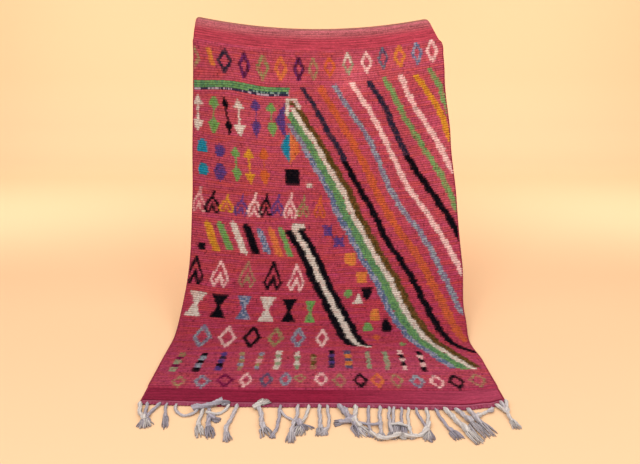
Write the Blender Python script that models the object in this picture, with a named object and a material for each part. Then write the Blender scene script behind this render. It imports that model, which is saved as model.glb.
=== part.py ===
"""Boujaad rug, held up by its top edge, with its lower end and its warp fringe lying on the floor.

Metres, +Z up. The pile side faces -Y and up. The floor is at Z = 0, and the rug lies and
hangs behind its fringe, which points towards -Y.

A spot on the cloth is given by "across", from -1 at the left side edge to 1 at the right,
and "along", in metres up the cloth from the very edge of its lower end.
"""
import math
from collections import namedtuple

import bmesh
import bpy
from mathutils import Vector

# Driving sizes of the flat rug
RUG_WIDTH = 1.50
RUG_LENGTH = 2.59
PILE_THICKNESS = 0.012
FLATWEAVE_THICKNESS = 0.005
LOWER_FLATWEAVE = 0.13
UPPER_FLATWEAVE = 0.14
PILE_RISE = 0.015
SIDE_EDGE_THINNING = 0.8
SIDE_EDGE_WIDTH = 0.03

# The twined edge, from which the warp fringe grows
TWINED_WIDTH = 0.020
TWINED_CREST = 0.007
TWINED_SIDE = 0.005
PIECE_GAP = 0.0003

# How the cloth hangs, at its left side edge, middle and right side edge.
# The slack is the catenary's parameter: the height over the curve's own tension.
Thirds = namedtuple("Thirds", "left middle right")
FLOOR_RUN = Thirds(left=0.56, middle=0.61, right=0.48)
SLACK = Thirds(left=0.47, middle=0.50, right=0.57)
FRONT_EDGE_Y = Thirds(left=-0.711, middle=-0.729, right=-0.721)
WAVE_FADES_OVER = 0.15

# Waves of the lower end, as steps back from a smooth curve
Wave = namedtuple("Wave", "across back")
FRONT_WAVES = (
    Wave(-1.00, 0.006),
    Wave(-0.60, 0.000),
    Wave(0.20, 0.000),
    Wave(0.60, -0.018),
    Wave(0.76, -0.024),
    Wave(0.90, -0.008),
    Wave(1.00, 0.022),
)

# The uneven side edges: where the cloth's middle lies and how wide it is
Level = namedtuple("Level", "along middle width")
SIDE_EDGES = (
    Level(0.00, -0.008, 1.502),
    Level(0.37, -0.010, 1.494),
    Level(0.56, -0.017, 1.474),
    Level(0.76, -0.010, 1.494),
    Level(1.10, 0.010, 1.518),
    Level(1.47, 0.005, 1.524),
    Level(1.84, -0.010, 1.512),
    Level(2.21, -0.024, 1.482),
    Level(RUG_LENGTH, -0.034, 1.454),
)

# Soft troughs and ridges of the hanging cloth, which run mostly up and down it
Trough = namedtuple("Trough", "across along slant length width rise")
TROUGHS = (
    Trough(across=0.03, along=1.40, slant=2, length=0.50, width=0.060, rise=-0.014),
    Trough(across=-0.22, along=1.55, slant=-6, length=0.55, width=0.110, rise=0.007),
    Trough(across=0.58, along=1.95, slant=14, length=0.42, width=0.075, rise=-0.009),
    Trough(across=0.30, along=2.20, slant=8, length=0.30, width=0.080, rise=0.006),
    Trough(across=-0.62, along=1.25, slant=10, length=0.40, width=0.090, rise=-0.006),
    Trough(across=-0.94, along=0.98, slant=0, length=0.20, width=0.070, rise=0.010),
)

# The top end, rolled and turned back where it is held
TOP_ROLL_LENGTH = 0.045
TOP_ROLL_RADIUS = 0.040
TOP_ROLL_TURN = math.radians(60)
Corner = namedtuple("Corner", "side in_from_side down radius turn")
TURNED_CORNERS = (
    Corner(side=1, in_from_side=0.085, down=0.20, radius=0.022, turn=math.radians(125)),
    Corner(side=-1, in_from_side=0.035, down=0.20, radius=0.020, turn=math.radians(80)),
)

# How finely the cloth is divided, section by section from the lower end up
Section = namedtuple("Section", "name end rows")
SECTIONS = (
    Section("lower flat weave", LOWER_FLATWEAVE, 3),
    Section("first knots", LOWER_FLATWEAVE + PILE_RISE, 1),
    Section("on the floor", 0.44, 6),
    Section("bend off the floor", 1.20, 19),
    Section("hanging", 2.34, 18),
    Section("below the top", RUG_LENGTH - UPPER_FLATWEAVE - PILE_RISE, 5),
    Section("last knots", RUG_LENGTH - UPPER_FLATWEAVE, 1),
    Section("upper flat weave", RUG_LENGTH, 9),
)
COLUMNS = 28
COLUMN_CROWDING = 0.62

# The warp fringe, as a maker would list it: where each strand leaves the twined edge, which
# way it leans and curls (degrees, right is positive), and its sizes in metres
Strand = namedtuple("Strand", "root lean curl length thick knot brush")
STRANDS = (
    Strand(-0.745, 24, -14, 0.070, 0.009, 0.9, 0.010),
    Strand(-0.718, 12, -4, 0.150, 0.009, 0.5, 0.026),
    Strand(-0.673, -3, 0, 0.070, 0.009, 0.9, 0.010),
    Strand(-0.640, 14, -2, 0.155, 0.009, 0.8, 0.018),
    Strand(-0.600, 16, 112, 0.115, 0.008, 0.9, 0.010),
    Strand(-0.480, 0, 4, 0.205, 0.010, 0.6, 0.026),
    Strand(-0.447, 2, 8, 0.215, 0.010, 0.6, 0.026),
    Strand(-0.363, -3, 14, 0.235, 0.009, 0.7, 0.018),
    Strand(-0.262, -8, 36, 0.195, 0.010, 0.6, 0.022),
    Strand(-0.180, 2, -2, 0.205, 0.009, 0.8, 0.018),
    Strand(-0.152, 13, 8, 0.075, 0.008, 0.9, 0.010),
    Strand(-0.105, -2, -8, 0.240, 0.010, 0.6, 0.030),
    Strand(-0.066, -4, 10, 0.185, 0.009, 0.6, 0.024),
    Strand(-0.024, 0, 2, 0.160, 0.010, 0.8, 0.024),
    Strand(0.010, 4, -8, 0.180, 0.009, 0.7, 0.024),
    Strand(0.055, 21, 24, 0.225, 0.013, 0.5, 0.028),
    Strand(0.120, 0, 0, 0.065, 0.010, 0.9, 0.012),
    Strand(0.176, -4, 0, 0.110, 0.009, 0.9, 0.014),
    Strand(0.220, -4, 6, 0.190, 0.009, 0.6, 0.022),
    Strand(0.256, -4, 0, 0.110, 0.008, 0.9, 0.012),
    Strand(0.282, -5, 6, 0.200, 0.009, 0.6, 0.022),
    Strand(0.312, -6, 4, 0.130, 0.009, 0.9, 0.014),
    Strand(0.342, -6, 4, 0.205, 0.009, 0.6, 0.024),
    Strand(0.380, 9, -14, 0.225, 0.009, 0.6, 0.022),
    Strand(0.412, -2, 4, 0.090, 0.009, 0.9, 0.012),
    Strand(0.452, 10, 4, 0.200, 0.009, 0.6, 0.026),
    Strand(0.492, 14, 6, 0.235, 0.009, 0.7, 0.018),
    Strand(0.532, 14, 0, 0.120, 0.009, 0.9, 0.012),
    Strand(0.575, 22, -16, 0.240, 0.009, 0.7, 0.016),
    Strand(0.644, 6, 0, 0.030, 0.008, 0.9, 0.010),
    Strand(0.720, -2, 12, 0.150, 0.009, 0.5, 0.024),
)
STRAND_STEPS = 8
STRAND_HEIGHT_SHARE = 0.9
STRAND_TOP_SHARE = 0.6
KNOT_SWELL = 1.5
KNOT_REACH = 0.12
BRUSH_HEIGHT = 0.006


def three_way(thirds, across):
    """The smooth curve through the values at the left edge, the middle and the right edge."""
    slope = (thirds.right - thirds.left) / 2
    bow = (thirds.left + thirds.right) / 2 - thirds.middle
    return thirds.middle + slope * across + bow * across * across


def eased(share):
    """0 below 0, 1 above 1, and a smooth rise between."""
    share = min(max(share, 0.0), 1.0)
    return share * share * (3 - 2 * share)


def eased_row(rows, at):
    """The row of a table at this value of its first column, eased between the rows given."""
    if at <= rows[0][0]:
        return rows[0]
    for low, high in zip(rows, rows[1:]):
        if at <= high[0]:
            share = eased((at - low[0]) / (high[0] - low[0]))
            return type(low)(*(a + (b - a) * share for a, b in zip(low, high)))
    return rows[-1]


def turned_over(beyond, radius, turn):
    """How far cloth that reaches this far past a fold line still lies forward, and how deep behind."""
    angle = min(beyond / radius, turn)
    rest = max(beyond - radius * turn, 0.0)
    forward = radius * math.sin(angle) + rest * math.cos(turn)
    behind = radius * (1 - math.cos(angle)) + rest * math.sin(turn)
    return forward, behind


def top_turned_back(across, along):
    """Where a spot of the flat cloth comes to lie once the top end is turned back, and how deep behind."""
    depth = 0.0
    held_at = RUG_LENGTH - TOP_ROLL_LENGTH
    half = RUG_WIDTH / 2
    for corner in TURNED_CORNERS:
        outwards = Vector((corner.down, corner.in_from_side)).normalized()
        spot = Vector((across * corner.side * half - half, along - held_at))
        beyond = (spot + Vector((corner.in_from_side, 0.0))).dot(outwards)
        if beyond > 0:
            forward, behind = turned_over(beyond, corner.radius, corner.turn)
            spot += outwards * (forward - beyond)
            across = (spot.x + half) / half * corner.side
            along = spot.y + held_at
            depth += behind
    if along > held_at:
        forward, behind = turned_over(along - held_at, TOP_ROLL_RADIUS, TOP_ROLL_TURN)
        along = held_at + forward
        depth += behind
    return across, along, depth


def catenary(across, along):
    """The underside of the cloth: flat along the floor, then up the curve of a hanging sheet."""
    run = three_way(FLOOR_RUN, across)
    slack = three_way(SLACK, across)
    lifted = max(along - run, 0.0)
    wave = eased_row(FRONT_WAVES, across).back * math.exp(-along / WAVE_FADES_OVER)
    level = eased_row(SIDE_EDGES, along)
    front = three_way(FRONT_EDGE_Y, across) + wave
    back = front + min(along, run) + slack * math.asinh(lifted / slack)
    height = math.hypot(slack, lifted) - slack
    return Vector((level.middle + across * level.width / 2, back, height))


def facing(surface, across, along):
    """The direction that the pile side of this surface faces."""
    step = 0.002
    sideways = surface(across + step, along) - surface(across - step, along)
    upwards = surface(across, along + step) - surface(across, along - step)
    return sideways.cross(upwards).normalized()


def trough_rise(across, along):
    """How far the soft troughs and ridges lift the cloth off its smooth curve."""
    total = 0.0
    for trough in TROUGHS:
        slant = math.radians(trough.slant)
        x = (across - trough.across) * RUG_WIDTH / 2
        y = along - trough.along
        beside = x * math.cos(slant) + y * math.sin(slant)
        beyond = y * math.cos(slant) - x * math.sin(slant)
        total += trough.rise * math.exp(
            -((beside / trough.width) ** 2) - (beyond / trough.length) ** 2
        )
    lifted = along - three_way(FLOOR_RUN, across)
    return total * eased(lifted / 0.30)


def underside(across, along):
    across, along, depth = top_turned_back(across, along)
    return catenary(across, along) + facing(catenary, across, along) * (
        trough_rise(across, along) - depth
    )


def thickness(across, along):
    """Pile between the flat-woven ends, a little thinner at the overcast side edges."""
    into_pile = min(along - LOWER_FLATWEAVE, RUG_LENGTH - UPPER_FLATWEAVE - along)
    pile = eased(into_pile / PILE_RISE)
    from_side = (1 - abs(across)) * RUG_WIDTH / 2
    bound = SIDE_EDGE_THINNING + (1 - SIDE_EDGE_THINNING) * eased(from_side / SIDE_EDGE_WIDTH)
    return FLATWEAVE_THICKNESS + (PILE_THICKNESS - FLATWEAVE_THICKNESS) * pile * bound


def column_places():
    """The cloth's columns, closer together towards its side edges, where the corners turn."""
    places = []
    for column in range(COLUMNS + 1):
        even = 2 * column / COLUMNS - 1
        places.append(even + COLUMN_CROWDING * math.sin(math.pi * even) / math.pi)
    return places


def row_places():
    places = [TWINED_WIDTH + PIECE_GAP]
    for section in SECTIONS:
        start = places[-1]
        for row in range(1, section.rows + 1):
            places.append(start + (section.end - start) * row / section.rows)
    return places


def grid(bm, columns, rows):
    """A flat grid of this many cells, and its points sorted into columns."""
    made = bmesh.ops.create_grid(bm, x_segments=columns, y_segments=rows, size=0.5)
    points = sorted(made["verts"], key=lambda v: (round(v.co.x, 5), round(v.co.y, 5)))
    return [points[i : i + rows + 1] for i in range(0, len(points), rows + 1)]


def finished(bm, name, material, collection):
    bmesh.ops.recalc_face_normals(bm, faces=bm.faces)
    mesh = bpy.data.meshes.new(name)
    bm.to_mesh(mesh)
    bm.free()
    mesh.materials.append(material)
    mesh.shade_smooth()
    mesh.set_sharp_from_angle(angle=math.radians(50))
    piece = bpy.data.objects.new(name, mesh)
    collection.objects.link(piece)
    return piece


def make_rug(material, collection):
    """The cloth in one solid: its underside is a draped grid, and its pile side is raised from that."""
    bm = bmesh.new()
    across_of = bm.verts.layers.float.new("across")
    along_of = bm.verts.layers.float.new("along")
    rows = row_places()
    for column, across in zip(grid(bm, COLUMNS, len(rows) - 1), column_places()):
        for point, along in zip(column, rows):
            point[across_of] = across
            point[along_of] = along
    made = bmesh.ops.extrude_face_region(bm, geom=bm.faces[:])
    pile_side = {item for item in made["geom"] if isinstance(item, bmesh.types.BMVert)}
    for point in bm.verts:
        across = point[across_of]
        along = point[along_of]
        point.co = underside(across, along)
        if point in pile_side:
            point.co += facing(underside, across, along) * thickness(across, along)
    return finished(bm, "rug", material, collection)


def cloth_front_line():
    """The cloth's lower edge on the floor, as its own columns draw it."""
    return [underside(across, TWINED_WIDTH + PIECE_GAP) for across in column_places()]


def line_y(line, x):
    for left, right in zip(line, line[1:]):
        if x <= right.x:
            break
    return left.y + (right.y - left.y) * (x - left.x) / (right.x - left.x)


def twined_columns(line):
    """Where the twined edge is divided: at each strand's root, and at the cloth's columns between."""
    roots = [(s.root - s.thick / 2, s.root + s.thick / 2) for s in STRANDS]
    clear = PIECE_GAP * 10
    kept = [p.x for p in line if all(not a - clear < p.x < b + clear for a, b in roots)]
    return sorted(kept + [x for root in roots for x in root])


def strand_course(strand, start):
    """The middle of a strand on the floor, step by step, with the way it heads."""
    step = strand.length / STRAND_STEPS
    spot = start.copy()
    heading = math.radians(strand.lean)
    course = []
    for _ in range(STRAND_STEPS):
        heading += math.radians(strand.curl) / STRAND_STEPS
        spot = spot + Vector((math.sin(heading), -math.cos(heading), 0.0)) * step
        course.append((spot, heading))
    return course


def strand_section(strand, share):
    """Width and height of a strand at this share of its length: plain cord, knot, then frayed brush."""
    knot = max(0.0, 1 - abs(share - strand.knot) / KNOT_REACH) * (KNOT_SWELL - 1) + 1
    frayed = eased((share - strand.knot) / (1 - strand.knot))
    width = strand.thick * knot + (strand.brush - strand.thick) * frayed
    height = strand.thick * knot * STRAND_HEIGHT_SHARE
    return width, height + (BRUSH_HEIGHT - height) * frayed


def grow_strand(bm, face, strand):
    """Extrudes a strand from its root on the twined edge, its flat underside on the floor throughout."""
    middle = face.calc_center_median()
    ring = {
        (1 if v.co.x > middle.x else -1, v.co.z > middle.z): v.co.copy() for v in face.verts
    }
    start = Vector((middle.x, middle.y, 0.0))
    for number, (spot, heading) in enumerate(strand_course(strand, start), 1):
        width, height = strand_section(strand, number / STRAND_STEPS)
        sideways = Vector((math.cos(heading), math.sin(heading), 0.0)) * width / 2
        face = bmesh.ops.extrude_discrete_faces(bm, faces=[face])["faces"][0]
        next_ring = {}
        for side, on_top in ring:
            share = STRAND_TOP_SHARE if on_top else 1.0
            lift = Vector((0.0, 0.0, height if on_top else 0.0))
            next_ring[side, on_top] = spot + sideways * side * share + lift
        for point in face.verts:
            place = min(ring, key=lambda key: (ring[key] - point.co).length)
            point.co = next_ring[place]
        ring = next_ring


def make_fringe(material, collection):
    """The twined edge, 0.3 mm in front of the cloth, with the warp strands fused into it."""
    line = cloth_front_line()
    columns = twined_columns(line)
    bm = bmesh.new()
    floor_points = set()
    depths = (TWINED_WIDTH, TWINED_WIDTH / 2, 0.0)
    for column, x in zip(grid(bm, len(columns) - 1, 2), columns):
        for point, in_front in zip(column, depths):
            point.co = Vector((x, line_y(line, x) - PIECE_GAP - in_front, 0.0))
            floor_points.add(point)
    made = bmesh.ops.extrude_face_region(bm, geom=bm.faces[:])
    for point in made["geom"]:
        if isinstance(point, bmesh.types.BMVert):
            behind = line_y(line, point.co.x) - PIECE_GAP - point.co.y
            on_crest = abs(behind - TWINED_WIDTH / 2) < PIECE_GAP
            point.co.z = TWINED_CREST if on_crest else TWINED_SIDE
    bmesh.ops.recalc_face_normals(bm, faces=bm.faces)
    fronts = [f for f in bm.faces if f.normal.y < -0.9 and abs(f.normal.z) < 0.1]
    root_of = {
        strand: min(fronts, key=lambda f: abs(f.calc_center_median().x - strand.root))
        for strand in STRANDS
    }
    for strand, root in root_of.items():
        grow_strand(bm, root, strand)
    return finished(bm, "fringe", material, collection)


def principled(name, colour, roughness):
    material = bpy.data.materials.new(name)
    material.use_nodes = True
    shader = material.node_tree.nodes["Principled BSDF"]
    shader.inputs["Base Color"].default_value = (*colour, 1.0)
    shader.inputs["Roughness"].default_value = roughness
    shader.inputs["Metallic"].default_value = 0.0
    material.diffuse_color = (*colour, 1.0)
    return material


def main():
    for old in list(bpy.data.objects):
        bpy.data.objects.remove(old)
    rug_pieces = bpy.data.collections.new("boujaad rug")
    bpy.context.scene.collection.children.link(rug_pieces)
    make_rug(principled("raspberry wool", (0.50, 0.06, 0.09), 0.95), rug_pieces)
    make_fringe(principled("cotton warp", (0.62, 0.60, 0.57), 0.90), rug_pieces)


main()
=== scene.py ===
"""Boujaad rug: the knotted pile, the flat-woven ends, the twined edge and the warp fringe.

Metres, +Z up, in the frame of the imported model. A spot on the cloth is given by "across", from
-1 at the left side edge to 1 at the right, and "along", in metres up the cloth from its lower end.
"""
import math
import random
from collections import namedtuple

import bmesh
import bpy
import numpy as np
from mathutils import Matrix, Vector


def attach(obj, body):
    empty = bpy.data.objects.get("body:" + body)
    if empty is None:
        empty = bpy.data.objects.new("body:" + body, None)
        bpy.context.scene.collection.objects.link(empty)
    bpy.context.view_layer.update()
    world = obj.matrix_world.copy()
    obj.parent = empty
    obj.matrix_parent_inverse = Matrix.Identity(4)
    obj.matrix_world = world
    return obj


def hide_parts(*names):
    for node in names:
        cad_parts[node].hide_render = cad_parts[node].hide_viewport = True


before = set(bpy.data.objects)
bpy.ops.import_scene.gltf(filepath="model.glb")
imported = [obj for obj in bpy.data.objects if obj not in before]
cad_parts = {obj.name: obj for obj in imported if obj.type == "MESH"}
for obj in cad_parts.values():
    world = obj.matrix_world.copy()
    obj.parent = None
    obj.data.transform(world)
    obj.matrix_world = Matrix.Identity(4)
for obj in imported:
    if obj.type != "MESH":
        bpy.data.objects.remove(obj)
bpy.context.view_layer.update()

# The camera, fitted to the photograph's outline: 600 pixels of focal length in a 640 pixel frame
CAMERA_PLACE = (-0.02, -2.865, 1.354)
CAMERA_PITCH_DOWN = math.radians(16)
CAMERA_LENS = 33.75

# Driving sizes of the flat rug, as in the solid
RUG_WIDTH = 1.50
RUG_LENGTH = 2.59
PILE_THICKNESS = 0.012
FLATWEAVE_THICKNESS = 0.005
LOWER_FLATWEAVE = 0.13
UPPER_FLATWEAVE = 0.14
PILE_RISE = 0.015
SIDE_EDGE_THINNING = 0.8
SIDE_EDGE_WIDTH = 0.03
TWINED_WIDTH = 0.020
TWINED_CREST = 0.007
PIECE_GAP = 0.0003

# How the cloth hangs, at its left side edge, middle and right side edge
Thirds = namedtuple("Thirds", "left middle right")
FLOOR_RUN = Thirds(left=0.56, middle=0.61, right=0.48)
SLACK = Thirds(left=0.47, middle=0.50, right=0.57)
FRONT_EDGE_Y = Thirds(left=-0.711, middle=-0.729, right=-0.721)
WAVE_FADES_OVER = 0.15

# Waves of the lower end: (across, how far back)
FRONT_WAVES = (
    (-1.00, 0.006), (-0.60, 0.000), (0.20, 0.000), (0.60, -0.018),
    (0.76, -0.024), (0.90, -0.008), (1.00, 0.022),
)

# The uneven side edges: (along, middle, width)
SIDE_EDGES = (
    (0.00, -0.008, 1.502), (0.37, -0.010, 1.494), (0.56, -0.017, 1.474),
    (0.76, -0.010, 1.494), (1.10, 0.010, 1.518), (1.47, 0.005, 1.524),
    (1.84, -0.010, 1.512), (2.21, -0.024, 1.482), (RUG_LENGTH, -0.034, 1.454),
)

# Soft troughs and ridges of the hanging cloth
Trough = namedtuple("Trough", "across along slant length width rise")
TROUGHS = (
    Trough(across=0.03, along=1.40, slant=2, length=0.50, width=0.060, rise=-0.014),
    Trough(across=-0.22, along=1.55, slant=-6, length=0.55, width=0.110, rise=0.007),
    Trough(across=0.58, along=1.95, slant=14, length=0.42, width=0.075, rise=-0.009),
    Trough(across=0.30, along=2.20, slant=8, length=0.30, width=0.080, rise=0.006),
    Trough(across=-0.62, along=1.25, slant=10, length=0.40, width=0.090, rise=-0.006),
    Trough(across=-0.94, along=0.98, slant=0, length=0.20, width=0.070, rise=0.010),
    # fine creases, too small for the solid
    Trough(across=0.06, along=1.27, slant=3, length=0.10, width=0.012, rise=-0.005),
    Trough(across=0.01, along=2.42, slant=-4, length=0.08, width=0.014, rise=-0.005),
)

# The top end, rolled and turned back where it is held
TOP_ROLL_LENGTH = 0.045
TOP_ROLL_RADIUS = 0.040
TOP_ROLL_TURN = math.radians(60)
Corner = namedtuple("Corner", "side in_from_side down radius turn")
TURNED_CORNERS = (
    Corner(side=1, in_from_side=0.085, down=0.20, radius=0.022, turn=math.radians(125)),
    Corner(side=-1, in_from_side=0.035, down=0.20, radius=0.020, turn=math.radians(80)),
)


# The camera

def place_camera():
    camera = bpy.data.objects.new("camera", bpy.data.cameras.new("camera"))
    camera.data.lens = CAMERA_LENS
    camera.data.sensor_width = 36
    camera.data.sensor_fit = "HORIZONTAL"
    camera.data.clip_start = 0.05
    camera.location = CAMERA_PLACE
    camera.rotation_euler = (math.pi / 2 - CAMERA_PITCH_DOWN, 0, 0)
    bpy.context.scene.collection.objects.link(camera)
    bpy.context.scene.camera = camera


# The drape, for whole arrays of places

def three_way(thirds, across):
    """The smooth curve through the values at the left edge, the middle and the right edge."""
    slope = (thirds.right - thirds.left) / 2
    bow = (thirds.left + thirds.right) / 2 - thirds.middle
    return thirds.middle + slope * across + bow * across * across


def eased(share):
    """0 below 0, 1 above 1, and a smooth rise between."""
    share = np.clip(share, 0.0, 1.0)
    return share * share * (3 - 2 * share)


def eased_column(rows, at, column):
    """One column of a table at these values of its first column, eased between the rows."""
    table = np.array(rows)
    low = np.clip(np.searchsorted(table[:, 0], at) - 1, 0, len(rows) - 2)
    start, end = table[low], table[low + 1]
    share = eased((at - start[..., 0]) / (end[..., 0] - start[..., 0]))
    return start[..., column] + (end[..., column] - start[..., column]) * share


def turned_over(beyond, radius, turn):
    """How far cloth that reaches past a fold line still lies forward, and how deep behind."""
    beyond = np.maximum(beyond, 0.0)
    angle = np.minimum(beyond / radius, turn)
    rest = np.maximum(beyond - radius * turn, 0.0)
    forward = radius * np.sin(angle) + rest * math.cos(turn)
    behind = radius * (1 - np.cos(angle)) + rest * math.sin(turn)
    return forward, behind


def top_turned_back(across, along):
    """Where a spot of the flat cloth lies once the top end is turned back, and how deep behind."""
    depth = np.zeros_like(across)
    held_at = RUG_LENGTH - TOP_ROLL_LENGTH
    half = RUG_WIDTH / 2
    for corner in TURNED_CORNERS:
        size = math.hypot(corner.down, corner.in_from_side)
        out_x, out_y = corner.down / size, corner.in_from_side / size
        x = across * corner.side * half - half
        y = along - held_at
        beyond = (x + corner.in_from_side) * out_x + y * out_y
        forward, behind = turned_over(beyond, corner.radius, corner.turn)
        shift = forward - np.maximum(beyond, 0.0)
        across = (x + out_x * shift + half) / half * corner.side
        along = y + out_y * shift + held_at
        depth = depth + behind
    forward, behind = turned_over(along - held_at, TOP_ROLL_RADIUS, TOP_ROLL_TURN)
    along = np.minimum(along, held_at) + forward
    return across, along, depth + behind


def catenary(across, along):
    """The cloth's underside: flat along the floor, then up the curve of a hanging sheet."""
    run = three_way(FLOOR_RUN, across)
    slack = three_way(SLACK, across)
    lifted = np.maximum(along - run, 0.0)
    wave = eased_column(FRONT_WAVES, across, 1) * np.exp(-along / WAVE_FADES_OVER)
    front = three_way(FRONT_EDGE_Y, across) + wave
    back = front + np.minimum(along, run) + slack * np.arcsinh(lifted / slack)
    height = np.hypot(slack, lifted) - slack
    middle = eased_column(SIDE_EDGES, along, 1)
    width = eased_column(SIDE_EDGES, along, 2)
    return np.stack([middle + across * width / 2, back, height], axis=-1)


def facing(surface, across, along):
    """The direction that the pile side of a surface faces."""
    step = 0.002
    sideways = surface(across + step, along) - surface(across - step, along)
    upwards = surface(across, along + step) - surface(across, along - step)
    out = np.cross(sideways, upwards)
    return out / np.linalg.norm(out, axis=-1, keepdims=True)


def trough_rise(across, along):
    """How far the soft troughs and ridges lift the cloth off its smooth curve."""
    total = np.zeros_like(across)
    for trough in TROUGHS:
        slant = math.radians(trough.slant)
        x = (across - trough.across) * RUG_WIDTH / 2
        y = along - trough.along
        beside = x * math.cos(slant) + y * math.sin(slant)
        beyond = y * math.cos(slant) - x * math.sin(slant)
        total += trough.rise * np.exp(
            -((beside / trough.width) ** 2) - (beyond / trough.length) ** 2
        )
    return total * eased((along - three_way(FLOOR_RUN, across)) / 0.30)


def underside(across, along):
    across, along, depth = top_turned_back(across, along)
    lift = trough_rise(across, along) - depth
    return catenary(across, along) + facing(catenary, across, along) * lift[..., None]


def thickness(across, along):
    """Pile between the flat-woven ends, a little thinner at the overcast side edges."""
    into_pile = np.minimum(along - LOWER_FLATWEAVE, RUG_LENGTH - UPPER_FLATWEAVE - along)
    pile = eased(into_pile / PILE_RISE)
    from_side = (1 - np.abs(across)) * RUG_WIDTH / 2
    bound = SIDE_EDGE_THINNING + (1 - SIDE_EDGE_THINNING) * eased(from_side / SIDE_EDGE_WIDTH)
    return FLATWEAVE_THICKNESS + (PILE_THICKNESS - FLATWEAVE_THICKNESS) * pile * bound


# The knot chart

# Yarns by name: (display sRGB colour, second colour that it is marbled with, share of the second)
Yarn = namedtuple("Yarn", "colour second share")
YARNS = {
    "ground": Yarn("#b04655", "#a23c52", 0.30),
    "cream": Yarn("#d0c2b8", "#cbaea4", 0.30),
    "white": Yarn("#e3b9b5", "#d99ea0", 0.28),
    "green": Yarn("#668f5a", "#4f7858", 0.42),
    "leaf": Yarn("#69944d", "#739062", 0.40),
    "fern": Yarn("#70935a", "#8a7c56", 0.38),
    "moss": Yarn("#8b8357", "#a26054", 0.50),
    "faded": Yarn("#96805c", "#a4625a", 0.50),
    "black": Yarn("#0e0a12", "#1d1218", 0.20),
    "navy": Yarn("#272236", "#50303f", 0.35),
    "slate": Yarn("#8c919b", "#776480", 0.50),
    "blue": Yarn("#5b6888", "#9895a6", 0.48),
    "violet": Yarn("#594663", "#64707c", 0.35),
    "purple": Yarn("#503875", "#6d3a70", 0.32),
    "plum": Yarn("#4f1a38", "#682a62", 0.38),
    "teal": Yarn("#1c7a99", "#2f8494", 0.25),
    "gold": Yarn("#c98a2c", "#c2722b", 0.35),
    "amber": Yarn("#cd733c", "#c58138", 0.30),
    "orange": Yarn("#cc7040", "#c65c3c", 0.35),
    "ember": Yarn("#c0592e", "#c26030", 0.35),
    "rust": Yarn("#bf5834", "#b4503e", 0.42),
    "olive": Yarn("#503d1a", "#6c4a26", 0.42),
    "pine": Yarn("#2c3f48", "#7f978c", 0.35),
    "maroon": Yarn("#68123c", "#7e1e48", 0.35),
    "blush": Yarn("#d69c9a", "#cb858a", 0.38),
    "sage": Yarn("#8b9678", "#a08270", 0.42),
    "marble": Yarn("#382c48", "#b5a0ae", 0.40),
}
YARN_NUMBER = {name: number for number, name in enumerate(YARNS)}

KNOTS = 214
KNOT_ROWS = 168
PILE_FIELD = RUG_LENGTH - UPPER_FLATWEAVE - LOWER_FLATWEAVE
KNOT_WIDTH = RUG_WIDTH / KNOTS
ROW_PITCH = PILE_FIELD / KNOT_ROWS

# How broad the motifs' lines are: one to three knots
SHAFT_LINE = 0.0085
INNER_LINE = 0.0105
FINE_LINE = 0.0125
MIDDLING_LINE = 0.0140
LINE = 0.0165
BOLD_LINE = 0.0215
# These yarns are tied the boldest
BOLD_YARNS = ("navy", "black", "plum", "slate", "moss", "orange", "amber")
LOWER_BOLD_YARNS = (*BOLD_YARNS, "violet", "maroon")
# Arrows of these yarns end in points, and the others in buds
POINTED_YARNS = ("cream", "gold")

# Forms of the motifs, in half widths each way from the middle and in heights from the foot
LOZENGE = ((0, 0.02), (0.84, 0.5), (0, 0.98), (-0.84, 0.5), (0, 0.02))
LOZENGE_CAP = ((-0.6, 0.62), (0, 0.98), (0.6, 0.62))
SPEAR = ((0.04, 0.99), (0.90, 0.28), (0.50, 0.03), (0.06, 0.42), (-0.48, 0.03), (-0.90, 0.28), (0.04, 0.99))
SPEAR_INNER = ((0.40, 0.22), (0.06, 0.54), (-0.34, 0.24))
SLANTED_BAR = ((-1, 0.06), (-1, 0.92), (-0.1, 1), (1, 0.90), (1, 0.02), (0.6, 0))
LITTLE_A = ((0.30, 1.0), (0.06, 0.74), (0.62, 0.44), (0.94, 0.18), (0.62, 0.02))
LITTLE_A_LEFT = ((0.06, 0.74), (-0.56, 0.46), (-0.94, 0.18), (-0.60, 0.02))
LITTLE_A_INNER = ((0.34, 0.06), (0.02, 0.42), (-0.32, 0.08))
SHAFT = ((0, 0.15), (0, 0.85))
HEAD_UP = ((-1, 0.72), (0, 1.0), (1, 0.72))
HEAD_DOWN = ((-1, 0.30), (0, 0.0), (1, 0.30))
BUD_UP = ((-1, 0.81), (-0.5, 0.94), (0, 1.0), (0.5, 0.94), (1, 0.81), (0.45, 0.71), (-0.45, 0.71))
BUD_DOWN = ((-1, 0.29), (-0.55, 0.40), (0.55, 0.40), (1, 0.29), (0.35, 0.08), (0, 0.0), (-0.35, 0.08))
HOURGLASS = ((-0.95, 1.0), (0.95, 1.0), (0.20, 0.50), (0.95, 0.0), (-0.95, 0.0), (-0.20, 0.50))
# Motifs of several lines: each line's form, its width, and its width in a bold yarn
LITTLE_A_LINES = (
    (LITTLE_A, MIDDLING_LINE, LINE), (LITTLE_A_LEFT, MIDDLING_LINE, LINE), (LITTLE_A_INNER, INNER_LINE, FINE_LINE),
)
SPEAR_LINES = ((SPEAR, FINE_LINE, LINE), (SPEAR_INNER, INNER_LINE, FINE_LINE))

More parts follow.
